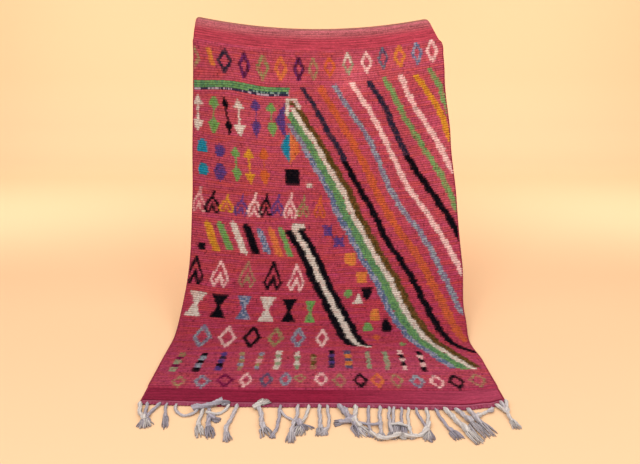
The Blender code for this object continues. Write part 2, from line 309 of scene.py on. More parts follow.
# A motif by its yarn and its place on the cloth, in metres: middle, top, foot, width, and how far
# its top leans to the right of its foot
Motif = namedtuple("Motif", "yarn x top foot width lean", defaults=(0.0,))
TOP_LOZENGES = (
    Motif("faded", -0.748, 2.406, 2.270, 0.070), Motif("navy", -0.569, 2.412, 2.284, 0.088),
    Motif("plum", -0.452, 2.408, 2.262, 0.066), Motif("moss", -0.341, 2.406, 2.262, 0.074),
    Motif("orange", -0.232, 2.406, 2.268, 0.076), Motif("plum", -0.123, 2.404, 2.272, 0.064),
    Motif("faded", -0.034, 2.402, 2.276, 0.062), Motif("ember", 0.066, 2.408, 2.294, 0.072),
    Motif("sage", 0.178, 2.426, 2.302, 0.068), Motif("white", 0.290, 2.430, 2.306, 0.070),
    Motif("violet", 0.392, 2.444, 2.322, 0.062), Motif("amber", 0.492, 2.440, 2.322, 0.070),
    Motif("blue", 0.597, 2.450, 2.318, 0.062), Motif("white", 0.686, 2.446, 2.320, 0.070),
)
# Where a lozenge changes yarn half way up
LOZENGE_CAPS = (Motif("cream", 0.176, 2.426, 2.302, 0.068),)
FIRST_ARROWS = (
    Motif("cream", -0.722, 2.126, 1.906, 0.068), Motif("leaf", -0.631, 2.130, 1.900, 0.062),
    Motif("black", -0.553, 2.136, 1.902, 0.042, -0.034), Motif("cream", -0.484, 2.133, 1.905, 0.074, -0.012),
    Motif("purple", -0.384, 2.140, 1.914, 0.062, -0.004), Motif("leaf", -0.291, 2.129, 1.922, 0.064, -0.010),
)
SECOND_ARROWS = (
    Motif("leaf", -0.501, 1.842, 1.632, 0.056, -0.012), Motif("gold", -0.426, 1.853, 1.622, 0.062, -0.014),
    Motif("ember", -0.338, 1.850, 1.620, 0.062, -0.006),
)
LITTLE_AS = (
    Motif("blush", -0.715, 1.572, 1.432, 0.082), Motif("black", -0.640, 1.566, 1.430, 0.088),
    Motif("gold", -0.560, 1.556, 1.444, 0.084), Motif("purple", -0.477, 1.558, 1.438, 0.082),
    Motif("white", -0.402, 1.574, 1.434, 0.080), Motif("black", -0.335, 1.578, 1.440, 0.078),
    Motif("purple", -0.269, 1.570, 1.452, 0.078), Motif("white", -0.196, 1.578, 1.430, 0.080),
    Motif("moss", -0.122, 1.568, 1.442, 0.068), Motif("ember", -0.028, 1.572, 1.442, 0.064),
)
SLANTED_BARS = (
    Motif("amber", -0.650, 2.414, 2.306, 0.030, -0.030),
    Motif("gold", -0.638, 1.384, 1.200, 0.042, -0.062), Motif("leaf", -0.565, 1.388, 1.214, 0.042, -0.070),
    Motif("cream", -0.488, 1.398, 1.200, 0.041, -0.070), Motif("black", -0.416, 1.392, 1.202, 0.048, -0.064),
    Motif("blue", -0.347, 1.366, 1.210, 0.038, -0.055), Motif("orange", -0.281, 1.376, 1.192, 0.040, -0.057),
    Motif("leaf", -0.222, 1.380, 1.192, 0.034, -0.061),
)
SPEARS = (
    Motif("black", -0.716, 1.156, 0.984, 0.096), Motif("white", -0.581, 1.150, 0.986, 0.106),
    Motif("faded", -0.433, 1.156, 0.996, 0.098), Motif("black", -0.289, 1.160, 0.984, 0.100),
    Motif("white", -0.159, 1.150, 0.978, 0.092),
)
HOURGLASSES = (
    Motif("cream", -0.684, 0.944, 0.782, 0.096, 0.014), Motif("black", -0.560, 0.942, 0.780, 0.100, -0.004),
    Motif("blue", -0.424, 0.940, 0.780, 0.086, -0.012), Motif("cream", -0.300, 0.938, 0.770, 0.092, -0.004),
    Motif("black", -0.181, 0.930, 0.764, 0.088, -0.006), Motif("leaf", -0.068, 0.922, 0.758, 0.066, -0.008),
)
MIDDLE_LOZENGES = (
    Motif("slate", -0.607, 0.720, 0.514, 0.094, -0.010), Motif("white", -0.478, 0.716, 0.512, 0.096, -0.010),
    Motif("black", -0.352, 0.722, 0.512, 0.092), Motif("moss", -0.232, 0.712, 0.520, 0.080),
    Motif("slate", -0.116, 0.712, 0.520, 0.070), Motif("white", 0.006, 0.706, 0.524, 0.064),
)
LOWER_LOZENGES = (
    Motif("faded", -0.627, 0.226, 0.136, 0.060, -0.008), Motif("slate", -0.526, 0.234, 0.138, 0.072, -0.008),
    Motif("maroon", -0.427, 0.252, 0.144, 0.076, -0.008), Motif("white", -0.336, 0.258, 0.146, 0.058),
    Motif("violet", -0.247, 0.264, 0.150, 0.056), Motif("slate", -0.162, 0.270, 0.158, 0.056),
    Motif("faded", -0.099, 0.252, 0.190, 0.060), Motif("white", -0.006, 0.272, 0.158, 0.062),
    Motif("faded", 0.076, 0.262, 0.146, 0.062), Motif("black", 0.165, 0.262, 0.146, 0.064),
    Motif("orange", 0.242, 0.262, 0.150, 0.060), Motif("faded", 0.323, 0.262, 0.146, 0.062),
    Motif("slate", 0.412, 0.250, 0.146, 0.064), Motif("white", 0.498, 0.248, 0.142, 0.068, -0.006),
    Motif("black", 0.583, 0.250, 0.142, 0.072, -0.006), Motif("faded", 0.678, 0.256, 0.146, 0.080, -0.004),
)

# Bars of stacked blocks near the lower end: the middle of the top block and of the foot, how far up
# the cloth they reach, and the yarns block by block from the top
Bar = namedtuple("Bar", "top_x foot_x width top foot blocks")
BARS = (
    Bar(-0.666, -0.679, 0.033, 0.449, 0.263, ("moss", "maroon", "sage", "maroon", "sage")),
    Bar(-0.555, -0.574, 0.034, 0.449, 0.269, ("black", "slate", "black", "slate", "black")),
    Bar(-0.464, -0.476, 0.033, 0.456, 0.280, ("purple", "navy", "purple", "black", "purple")),
    Bar(-0.379, -0.374, 0.026, 0.461, 0.286, ("faded", "slate", "moss", "slate", "faded")),
    Bar(-0.286, -0.300, 0.026, 0.459, 0.293, ("slate", "moss", "blush", "moss", "slate")),
    Bar(-0.203, -0.209, 0.029, 0.474, 0.301, ("cream", "sage", "cream", "sage", "cream")),
    Bar(-0.115, -0.117, 0.024, 0.470, 0.298, ("cream", "sage", "cream", "sage")),
    Bar(-0.039, -0.042, 0.024, 0.452, 0.303, ("olive", "faded", "olive", "faded")),
    Bar(0.049, 0.045, 0.028, 0.486, 0.312, ("black", "purple", "navy", "purple", "navy")),
    Bar(0.124, 0.121, 0.034, 0.480, 0.308, ("violet", "amber", "violet", "amber", "violet")),
    Bar(0.222, 0.214, 0.019, 0.477, 0.311, ("sage", "sage", "sage")),
    Bar(0.305, 0.298, 0.025, 0.477, 0.297, ("sage", "sage", "sage", "sage", "sage")),
    Bar(0.378, 0.374, 0.024, 0.480, 0.297, ("white", "black", "white", "black", "white")),
    Bar(0.466, 0.463, 0.027, 0.474, 0.286, ("black", "white", "black", "white", "black")),
)

# Long stripes: yarn, width, and the middle line as (x, along) from its upper end
Stripe = namedtuple("Stripe", "yarn width line")
STRIPES = (
    Stripe("rust", 0.046, ((0.000, 2.235), (0.085, 2.087), (0.174, 1.911), (0.258, 1.730), (0.302, 1.592),
                           (0.354, 1.465), (0.418, 1.337), (0.504, 1.194), (0.574, 1.018), (0.641, 0.862),
                           (0.685, 0.689), (0.726, 0.581))),
    Stripe("navy", 0.037, ((-0.103, 2.228), (-0.018, 2.089), (0.047, 1.949), (0.102, 1.859), (0.138, 1.768))),
    Stripe("black", 0.040, ((0.134, 1.778), (0.156, 1.723), (0.208, 1.612), (0.290, 1.441), (0.346, 1.289),
                            (0.407, 1.179), (0.493, 1.002), (0.566, 0.823), (0.600, 0.698), (0.650, 0.578),
                            (0.684, 0.509), (0.738, 0.462))),
    Stripe("slate", 0.034, ((0.085, 2.246), (0.176, 2.092), (0.270, 1.928), (0.334, 1.766), (0.378, 1.603),
                            (0.444, 1.462), (0.526, 1.337), (0.588, 1.207), (0.639, 1.052), (0.690, 0.926),
                            (0.738, 0.780))),
    Stripe("white", 0.032, ((0.190, 2.256), (0.293, 2.084), (0.363, 1.921), (0.431, 1.744), (0.491, 1.579),
                            (0.578, 1.431), (0.652, 1.280), (0.688, 1.192), (0.745, 1.030))),
    Stripe("navy", 0.040, ((0.297, 2.258), (0.391, 2.095), (0.436, 1.939), (0.502, 1.774))),
    Stripe("black", 0.042, ((0.498, 1.784), (0.571, 1.629), (0.635, 1.504), (0.703, 1.378), (0.755, 1.240))),
    Stripe("fern", 0.036, ((0.394, 2.268), (0.457, 2.136), (0.513, 1.983), (0.592, 1.820), (0.660, 1.688),
                           (0.702, 1.566), (0.752, 1.410))),
    Stripe("white", 0.033, ((0.490, 2.274), (0.554, 2.094), (0.618, 1.954), (0.684, 1.822), (0.745, 1.650))),
    Stripe("gold", 0.036, ((0.576, 2.264), (0.652, 2.136), (0.704, 2.021), (0.746, 1.840))),
    Stripe("fern", 0.033, ((0.662, 2.276), (0.722, 2.163), (0.752, 2.000))),
)

# The broad stripe, by the middle of its cream lane as (x, along) from its upper end
BROAD_LINE = ((-0.165, 2.095), (-0.121, 2.017), (-0.044, 1.898), (0.043, 1.735), (0.114, 1.591),
              (0.152, 1.470), (0.204, 1.367), (0.280, 1.189), (0.361, 1.027), (0.415, 0.892),
              (0.465, 0.762), (0.524, 0.622), (0.588, 0.491), (0.635, 0.379), (0.690, 0.290))
# A lane of a stripe: its yarn, where it starts and ends sideways of the stripe's line, and between
# which levels it is tied
Lane = namedtuple("Lane", "yarn start end top foot")
BROAD_LANES = (
    Lane("slate", -0.096, -0.058, 2.01, 1.84), Lane("blue", -0.096, -0.058, 1.85, 0.310),
    Lane("green", -0.060, -0.012, 2.08, 0.296), Lane("cream", -0.014, 0.017, 2.11, 0.290),
    Lane("olive", 0.017, 0.056, 2.11, 0.312),
)
# The hook in which the cream lane ends above, and the olive wool inside it
BROAD_HOOK = ((-0.196, 2.068), (-0.197, 2.150), (-0.147, 2.154), (-0.124, 2.106))
BROAD_HOOK_INSIDE = ((-0.182, 2.128), (-0.150, 2.124), (-0.110, 2.060))

# The short stripe to its left: cream between two lanes of black
SHORT_LINE = ((-0.165, 1.352), (-0.087, 1.209), (-0.026, 1.048), (0.047, 0.911), (0.111, 0.760),
              (0.157, 0.603), (0.186, 0.545), (0.238, 0.520))
SHORT_LANES = (
    Lane("black", -0.061, -0.017, 1.36, 0.530), Lane("cream", -0.017, 0.017, 1.39, 0.516),
    Lane("black", 0.017, 0.057, 1.37, 0.535),
)
# The level of the green band's foot across the rug, which the rows of knots there follow
GREEN_BAND = (
    (-0.760, 2.180), (-0.711, 2.188), (-0.653, 2.198), (-0.594, 2.205), (-0.536, 2.209), (-0.477, 2.205),
    (-0.417, 2.199), (-0.358, 2.193), (-0.298, 2.193), (-0.238, 2.197), (-0.182, 2.198),
)
GREEN_BAND_LEVEL = 2.204
# Its rows: yarn, where it starts, and how many rows below and above the level
GREEN_BAND_ROWS = (("green", -0.76, -1.2, 1.9), ("pine", -0.43, -1.2, -0.5), ("marble", -0.76, -2.2, -1.2))

# Small filled forms, and where they are tied: yarn, x, top, foot, width, form
BLOCK = ((-1, 0), (-1, 1), (1, 1), (1, 0))
POINT_UP = ((-1, 0), (0, 1), (1, 0))
BLOB = ((-1, 0.3), (-0.9, 0.8), (-0.2, 1.0), (0.8, 0.9), (1, 0.4), (0.3, 0.0), (-0.6, 0.05))
LEFT_HALF = ((0, 0), (0, 1), (-0.45, 0.85), (-1, 0.5), (-0.55, 0.2))
RIGHT_HALF = ((0, 0), (0, 1), (0.95, 0.66), (1, 0.38))
DOME_UP = ((-0.9, 0), (-1, 0.35), (-0.8, 0.75), (-0.3, 1), (0.3, 1), (0.8, 0.75), (1, 0.35), (0.9, 0))
ROUND = ((-1, 0.3), (-1, 0.7), (-0.5, 1), (0.5, 1), (1, 0.7), (1, 0.3), (0.5, 0), (-0.5, 0))
FULL_POINT = ((-1, 1), (1, 1), (0.72, 0.42), (0.12, 0), (-0.55, 0.32))
ROUND_DIAMOND = ((-1, 0.5), (-0.45, 0.88), (0, 1), (0.45, 0.85), (1, 0.55), (0.55, 0.18), (0, 0), (-0.6, 0.18))
CROSS = ((-1, 0.05), (-0.6, 0.5), (-1, 0.85), (-0.4, 1), (0.2, 0.8), (0.9, 1), (0.75, 0.5), (1, 0.0), (0, 0.22))
SMALL_FORMS = (
    ("purple", -0.210, 2.126, 1.920, 0.120, LEFT_HALF), ("teal", -0.187, 1.956, 1.770, 0.110, LEFT_HALF),
    ("orange", -0.187, 1.956, 1.758, 0.110, RIGHT_HALF),
    ("teal", -0.694, 1.866, 1.784, 0.062, DOME_UP), ("teal", -0.690, 1.722, 1.646, 0.058, ROUND),
    ("purple", -0.594, 1.850, 1.768, 0.060, BLOB), ("purple", -0.594, 1.742, 1.624, 0.076, ROUND_DIAMOND),
    ("black", -0.176, 1.734, 1.634, 0.084, BLOCK), ("cream", -0.083, 1.652, 1.624, 0.034, BLOCK),
    ("black", -0.690, 1.244, 1.198, 0.040, BLOCK), ("cream", -0.150, 1.402, 1.366, 0.072, BLOCK),
    ("purple", 0.018, 1.402, 1.320, 0.064, CROSS), ("purple", 0.082, 1.328, 1.254, 0.068, CROSS),
    ("amber", 0.142, 1.214, 1.146, 0.060, BLOCK), ("amber", 0.200, 1.098, 1.026, 0.058, BLOCK),
    ("leaf", 0.131, 0.992, 0.938, 0.042, ROUND), ("black", 0.232, 0.998, 0.910, 0.070, FULL_POINT),
    ("cream", 0.187, 0.962, 0.892, 0.060, POINT_UP), ("amber", 0.281, 0.858, 0.768, 0.050, DOME_UP),
    ("leaf", 0.239, 0.756, 0.684, 0.052, DOME_UP), ("black", 0.337, 0.776, 0.674, 0.056, DOME_UP),
    ("rust", 0.284, 0.654, 0.590, 0.046, ROUND_DIAMOND), ("fern", 0.409, 0.570, 0.528, 0.038, ROUND_DIAMOND),
)


def spots_of(motif, points):
    """A form's points as places on the cloth, leaning with its motif."""
    height = motif.top - motif.foot
    return [
        (motif.x + u * motif.width / 2 + (v - 0.5) * motif.lean, motif.foot + v * height)
        for u, v in points
    ]


def within(x, y, points):
    """Whether each spot lies inside the closed form of these points."""
    inside = np.zeros(x.shape, bool)
    for (x0, y0), (x1, y1) in zip(points, points[1:] + points[:1]):
        if y0 != y1:
            crosses = (y0 > y) != (y1 > y)
            inside ^= crosses & (x < x0 + (y - y0) * (x1 - x0) / (y1 - y0))
    return inside


def beside_line(x, y, points, width):
    """Whether each spot lies within half the width of the line through these points."""
    near = np.full(x.shape, np.inf)
    for (x0, y0), (x1, y1) in zip(points, points[1:]):
        size = (x1 - x0) ** 2 + (y1 - y0) ** 2
        share = np.clip(((x - x0) * (x1 - x0) + (y - y0) * (y1 - y0)) / size, 0, 1)
        near = np.minimum(near, np.hypot(x - x0 - share * (x1 - x0), y - y0 - share * (y1 - y0)))
    return near < width / 2


def ragged(y, seed):
    """How far a lane's border strays, a knot or less either way, as the yarn changes by eye."""
    return 0.0030 * np.sin(y * 57 + seed * 310) + 0.0022 * np.sin(y * 131 + seed * 530)


def in_lane(x, y, line, lane):
    """Whether each spot lies in a lane beside a line that runs down the cloth."""
    downwards = sorted(((along, at) for at, along in line))
    middle = np.interp(y, [along for along, _ in downwards], [at for _, at in downwards])
    start = middle + lane.start + ragged(y, lane.start + line[0][0])
    end = middle + lane.end + ragged(y, lane.end + line[0][0])
    return (x >= start) & (x < end) & (y < lane.top) & (y > lane.foot)


def knot_chart(x, y, row_level):
    """The number of the yarn tied at each spot of the flat cloth, row by row as the weaver does."""
    chart = np.zeros(x.shape, int)

    def tie(yarn, where):
        chart[where] = YARN_NUMBER[yarn]

    def draw(motifs, *lines, bold_yarns):
        for motif in motifs:
            for points, width, bold_width in lines:
                bold = motif.yarn in bold_yarns
                spots = spots_of(motif, points)
                tie(motif.yarn, beside_line(x, y, spots, bold_width if bold else width))

    def fill(motifs, *forms):
        for motif in motifs:
            for points in forms:
                tie(motif.yarn, within(x, y, spots_of(motif, points)))

    draw(MIDDLE_LOZENGES + TOP_LOZENGES, (LOZENGE, LINE, BOLD_LINE), bold_yarns=BOLD_YARNS)
    draw(LOWER_LOZENGES, (LOZENGE, FINE_LINE, LINE), bold_yarns=LOWER_BOLD_YARNS)
    draw(LOZENGE_CAPS, (LOZENGE_CAP, LINE, LINE), bold_yarns=())
    for motif in FIRST_ARROWS + SECOND_ARROWS:
        heads = (HEAD_UP, HEAD_DOWN) if motif.yarn in POINTED_YARNS else (BUD_UP, BUD_DOWN)
        draw([motif], (SHAFT, SHAFT_LINE, FINE_LINE), bold_yarns=(*POINTED_YARNS, "black"))
        fill([motif], *heads)
    draw(LITTLE_AS, *LITTLE_A_LINES, bold_yarns=("black",))
    fill(SLANTED_BARS, SLANTED_BAR)
    draw(SPEARS, *SPEAR_LINES, bold_yarns=("black",))
    fill(HOURGLASSES, HOURGLASS)
    for bar in BARS:
        share = (bar.top - y) / (bar.top - bar.foot)
        middle = bar.top_x + (bar.foot_x - bar.top_x) * share
        beside = np.abs(x - middle) < bar.width / 2
        for number, yarn in enumerate(bar.blocks):
            in_block = np.floor(share * len(bar.blocks)) == number
            tie(yarn, beside & in_block)
    for stripe in STRIPES:
        lane = Lane(stripe.yarn, -stripe.width / 2, stripe.width / 2, stripe.line[0][1], stripe.line[-1][1])
        tie(stripe.yarn, in_lane(x, y, stripe.line, lane))
        tie(stripe.yarn, beside_line(x, y, stripe.line[-3:], stripe.width * 0.75))
    for lanes, course in ((BROAD_LANES, BROAD_LINE), (SHORT_LANES, SHORT_LINE)):
        for lane in lanes:
            tie(lane.yarn, in_lane(x, y, course, lane))
    tie("olive", beside_line(x, y, BROAD_HOOK_INSIDE, 0.026))
    tie("cream", beside_line(x, y, BROAD_HOOK, 0.023))
    for *place, form in SMALL_FORMS:
        fill([Motif(*place)], form)
    above = (row_level - GREEN_BAND_LEVEL) / ROW_PITCH
    for yarn, start, low, high in GREEN_BAND_ROWS:
        tie(yarn, (x > start) & (x < GREEN_BAND[-1][0]) & (above > low) & (above <= high))
    return chart


# The colours

def linear(colour):
    """A display sRGB colour such as "#c04a56" as linear red, green and blue."""
    shares = [int(colour[i : i + 2], 16) / 255 for i in (1, 3, 5)]
    return [s / 12.92 if s <= 0.04045 else ((s + 0.055) / 1.055) ** 2.4 for s in shares]


def mixed(first, second, share):
    """Two colours or arrays of colours mixed, all of the second where the share is 1."""
    share = np.asarray(share)[..., None]
    return np.asarray(first) * (1 - share) + np.asarray(second) * share


def streaks(rng, rows, columns, run):
    """Random values of -1 to 1 that last for a run of columns and change from row to row."""
    steps = columns // run + 2
    marks = rng.uniform(-1, 1, (rows, steps))
    starts = rng.uniform(0, 1, rows)
    places = np.arange(columns) / run
    return np.stack([np.interp(places + start, np.arange(steps), row) for start, row in zip(starts, marks)])


def knot_colours():
    """The linear colour of every knot, with the uneven dye of hand-spun yarn, and painted light and shade along the
    drape and in a crease.
    """
    rng = np.random.default_rng(11)
    x = ((np.arange(KNOTS) + 0.5) / KNOTS - 0.5) * RUG_WIDTH
    y = LOWER_FLATWEAVE + (np.arange(KNOT_ROWS) + 0.5) * ROW_PITCH
    x, row_level = np.meshgrid(x, y)
    x = x + row_shift()[:, None]
    y = row_level + row_bend(x, row_level)
    first = np.array([linear(yarn.colour) for yarn in YARNS.values()])
    second = np.array([linear(yarn.second) for yarn in YARNS.values()])
    share = np.array([yarn.share for yarn in YARNS.values()])
    luck = rng.uniform(0, 1, x.shape)
    clumps = 1 + 0.8 * streaks(rng, KNOT_ROWS, KNOTS, 3)
    colours = np.zeros((*x.shape, 3))
    on_ground = np.zeros(x.shape)
    for beside, up, part in MINGLING:
        chart = knot_chart(x + beside * KNOT_WIDTH, y + up * ROW_PITCH, row_level)
        marbled = luck < share[chart] * clumps
        colours += part * mixed(first[chart], second[chart], marbled * 0.85)
        on_ground += part * (chart == 0)
    # A deeper crimson dye lot runs across the rug where it bends towards the floor
    crimson = on_ground * np.exp(-(((row_level - 0.80) / 0.40) ** 2))
    colours = mixed(colours, linear(GROUND_CRIMSON), crimson * 0.55)
    # The red ground drifts between dye lots along its rows: magenta one way, orange-red the other
    drift = 0.55 * streaks(rng, KNOT_ROWS, KNOTS, 22) + 0.45 * streaks(rng, KNOT_ROWS, KNOTS, 5)
    drift += 0.35 * (1 - eased((row_level - 0.40) / 0.30))
    colours = mixed(colours, linear(GROUND_MAGENTA), on_ground * np.clip(drift, 0, 1) * 0.70)
    colours = mixed(colours, linear(GROUND_ORANGE), on_ground * np.clip(-drift, 0, 1) * 0.75)
    lightness = 1 + 0.09 * streaks(rng, KNOT_ROWS, KNOTS, 40) + 0.17 * rng.uniform(-1, 1, x.shape)
    # painted light and shade by the place along the drape
    lightness *= eased_column(PAINTED_LIGHT_ALONG_PILE, row_level, 1) * light_across(x)
    lightness *= np.where(rng.uniform(0, 1, x.shape) < 0.03, 0.66, 1.0)
    for patch in PATCHES:
        near = np.exp(-(((x - patch.x) / patch.wide) ** 2) - ((row_level - patch.along) / patch.high) ** 2)
        colours = mixed(colours, linear(GROUND_PINK), on_ground * near * patch.pinker)
        lightness *= 1 + patch.lighter * near
    # The first rows are tied with the flat-woven end's own raspberry wool
    near_end = on_ground * (1 - eased((row_level - LOWER_FLATWEAVE) / 0.030))
    colours = mixed(colours, linear(LOWER_END_COLOURS[1]), near_end * 0.60)
    return colours * lightness[..., None]


# The tips of neighbouring knots mingle: knots beside, rows up and the share taken from there
MINGLING = ((0, 0, 0.60), (0.9, 0, 0.12), (-0.9, 0, 0.12), (0, 0.45, 0.08), (0, -0.45, 0.08))
GROUND_MAGENTA = "#ae4068"
GROUND_ORANGE = "#b8443c"
GROUND_PINK = "#cf6a78"
GROUND_CRIMSON = "#ab2f48"

# Where the ground is paler or darker, with its place and half sizes in metres
Patch = namedtuple("Patch", "x along wide high lighter pinker")
PATCHES = (
    Patch(0.19, 2.28, 0.10, 0.12, 0.16, 0.35), Patch(0.45, 2.34, 0.40, 0.10, 0.02, 0.25),
    Patch(0.72, 1.80, 0.09, 0.50, 0.04, 0.18), Patch(0.35, 1.55, 0.12, 0.30, 0.01, 0.0),
    Patch(0.05, 1.12, 0.12, 0.20, 0.04, 0.0), Patch(0.52, 1.90, 0.10, 0.20, -0.06, 0.0),
    Patch(-0.66, 1.90, 0.12, 0.35, -0.07, 0.0), Patch(0.40, 0.30, 0.40, 0.12, -0.02, 0.14),
    Patch(-0.30, 2.10, 0.50, 0.40, 0.02, 0.16), Patch(0.55, 1.90, 0.30, 0.40, 0.00, 0.10),
    # The last two are painted shade along the fine creases near the middle
    Patch(0.045, 1.29, 0.008, 0.11, -0.16, 0.0), Patch(0.022, 1.21, 0.007, 0.07, -0.12, 0.0),
)
# Painted light and shade: how bright the pile is made by its place along the rug, darkest where the drape bends towards
# the floor
PAINTED_LIGHT_ALONG_PILE = ((0.13, 1.03), (0.38, 0.97), (0.62, 0.92), (0.95, 0.97), (1.30, 1.02), (1.80, 1.06), (2.45, 1.07))
LOWER_END_COLOURS = ("#87243f", "#8d203c", "#a4415c")
UPPER_END_COLOURS = ("#be485b", "#bd6771")
EDGE_LINE_COLOUR = "#7d6a4c"


def light_across(x):
    """The whole rug is a little paler towards its right side."""
    return 1 + 0.06 * x / (RUG_WIDTH / 2)


# Meshes

def grid_mesh(name, columns, rows, doubled=False):
    """A grid of cells as a mesh, with each point's column and row, and whether it is on the front."""
    bm = bmesh.new()
    bmesh.ops.create_grid(bm, x_segments=columns, y_segments=rows, size=0.5)
    if doubled:
        made = bmesh.ops.extrude_face_region(bm, geom=bm.faces[:])["geom"]
        front = [item for item in made if isinstance(item, bmesh.types.BMVert)]
        bmesh.ops.translate(bm, verts=front, vec=(0, 0, 1))
        bmesh.ops.recalc_face_normals(bm, faces=bm.faces)
    mesh = bpy.data.meshes.new(name)
    bm.to_mesh(mesh)
    bm.free()
    places = np.empty(len(mesh.vertices) * 3)
    mesh.vertices.foreach_get("co", places)
    places = places.reshape(-1, 3)
    column = np.rint((places[:, 0] + 0.5) * columns).astype(int)
    row = np.rint((places[:, 1] + 0.5) * rows).astype(int)
    return mesh, column, row, places[:, 2] > 0.5


def corners_of(mesh):
    """The point at each corner of each face, all faces having four."""
    corners = np.empty(len(mesh.loops), int)
    mesh.loops.foreach_get("vertex_index", corners)
    return corners.reshape(-1, 4)


def write_colours(mesh, colours, domain="CORNER"):
    """Colours of the face corners or of the points, in an attribute named yarn."""
    layer = mesh.color_attributes.new("yarn", "FLOAT_COLOR", domain)
    with_alpha = np.ones((len(layer.data), 4), np.float32)
    with_alpha[:, :3] = np.clip(colours.reshape(-1, 3), 0.0, 1.0)
    layer.data.foreach_set("color", with_alpha.ravel())


def write_uv(mesh, name, places):
    layer = mesh.uv_layers.new(name=name)
    layer.data.foreach_set("uv", np.ascontiguousarray(places, np.float32).ravel())


def cap_and_turn_out(bm):
    """Fill the open ends of a mesh's tubes, and turn their faces outwards."""
    bmesh.ops.holes_fill(bm, edges=[e for e in bm.edges if e.is_boundary], sides=0)
    bmesh.ops.recalc_face_normals(bm, faces=bm.faces)


def close_tube(bm):
    """Join a rolled-up grid along its seam, and fill its ends."""
    bmesh.ops.remove_doubles(bm, verts=bm.verts, dist=1e-6)
    cap_and_turn_out(bm)


def new_piece(mesh, material):
    piece = bpy.data.objects.new(mesh.name, mesh)
    bpy.context.scene.collection.objects.link(piece)
    mesh.materials.append(material)
    mesh.shade_smooth()
    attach(piece, "root")
    return piece


# The pile

PILE_BANDS = 4
CELLS_A_KNOT = 2
CELLS_A_ROW = 4
# Across a row of pile, from its foot to the next row's: how high its tufts stand over the solid's
# surface, how far they lean down the cloth over the row beneath, and how much light reaches there
TUFT_RISE = (-0.0030, 0.0004, 0.0004, -0.0009)
TUFT_LEAN = (0.0, 0.0030, 0.0022, 0.0010)
TUFT_LIGHT = (0.58, 1.0, 1.06, 0.96)
TUFT_PARTING = 0.0006
TUFT_UNEVEN = 0.0011
TUCKED_IN = 0.002
LEAST_RISE = 0.0056


def row_bend(x, along):
    """How far a row of knots strays up the cloth: beaten unevenly, and bent round the green band."""
    places, levels = zip(*GREEN_BAND)
    band = sum(np.interp(x + beside, places, levels) for beside in (-0.03, 0.0, 0.03)) / 3
    band = (band - GREEN_BAND_LEVEL) * (1 - eased((x - GREEN_BAND[-1][0]) / 0.12))
    stray = band * np.exp(-(((along - GREEN_BAND_LEVEL) / 0.15) ** 2))
    stray += 0.0030 * np.sin(x * 6.1 + along * 7.3) + 0.0016 * np.sin(x * 15.7 - along * 19.0 + 1.0)
    ends = eased((along - LOWER_FLATWEAVE) / 0.10) * eased((RUG_LENGTH - UPPER_FLATWEAVE - along) / 0.10)
    return stray * ends


def row_shift():
    """How far each row of knots is set sideways, as its first knot falls."""
    rng = np.random.default_rng(3)
    return rng.uniform(-0.5, 0.5, KNOT_ROWS) * KNOT_WIDTH


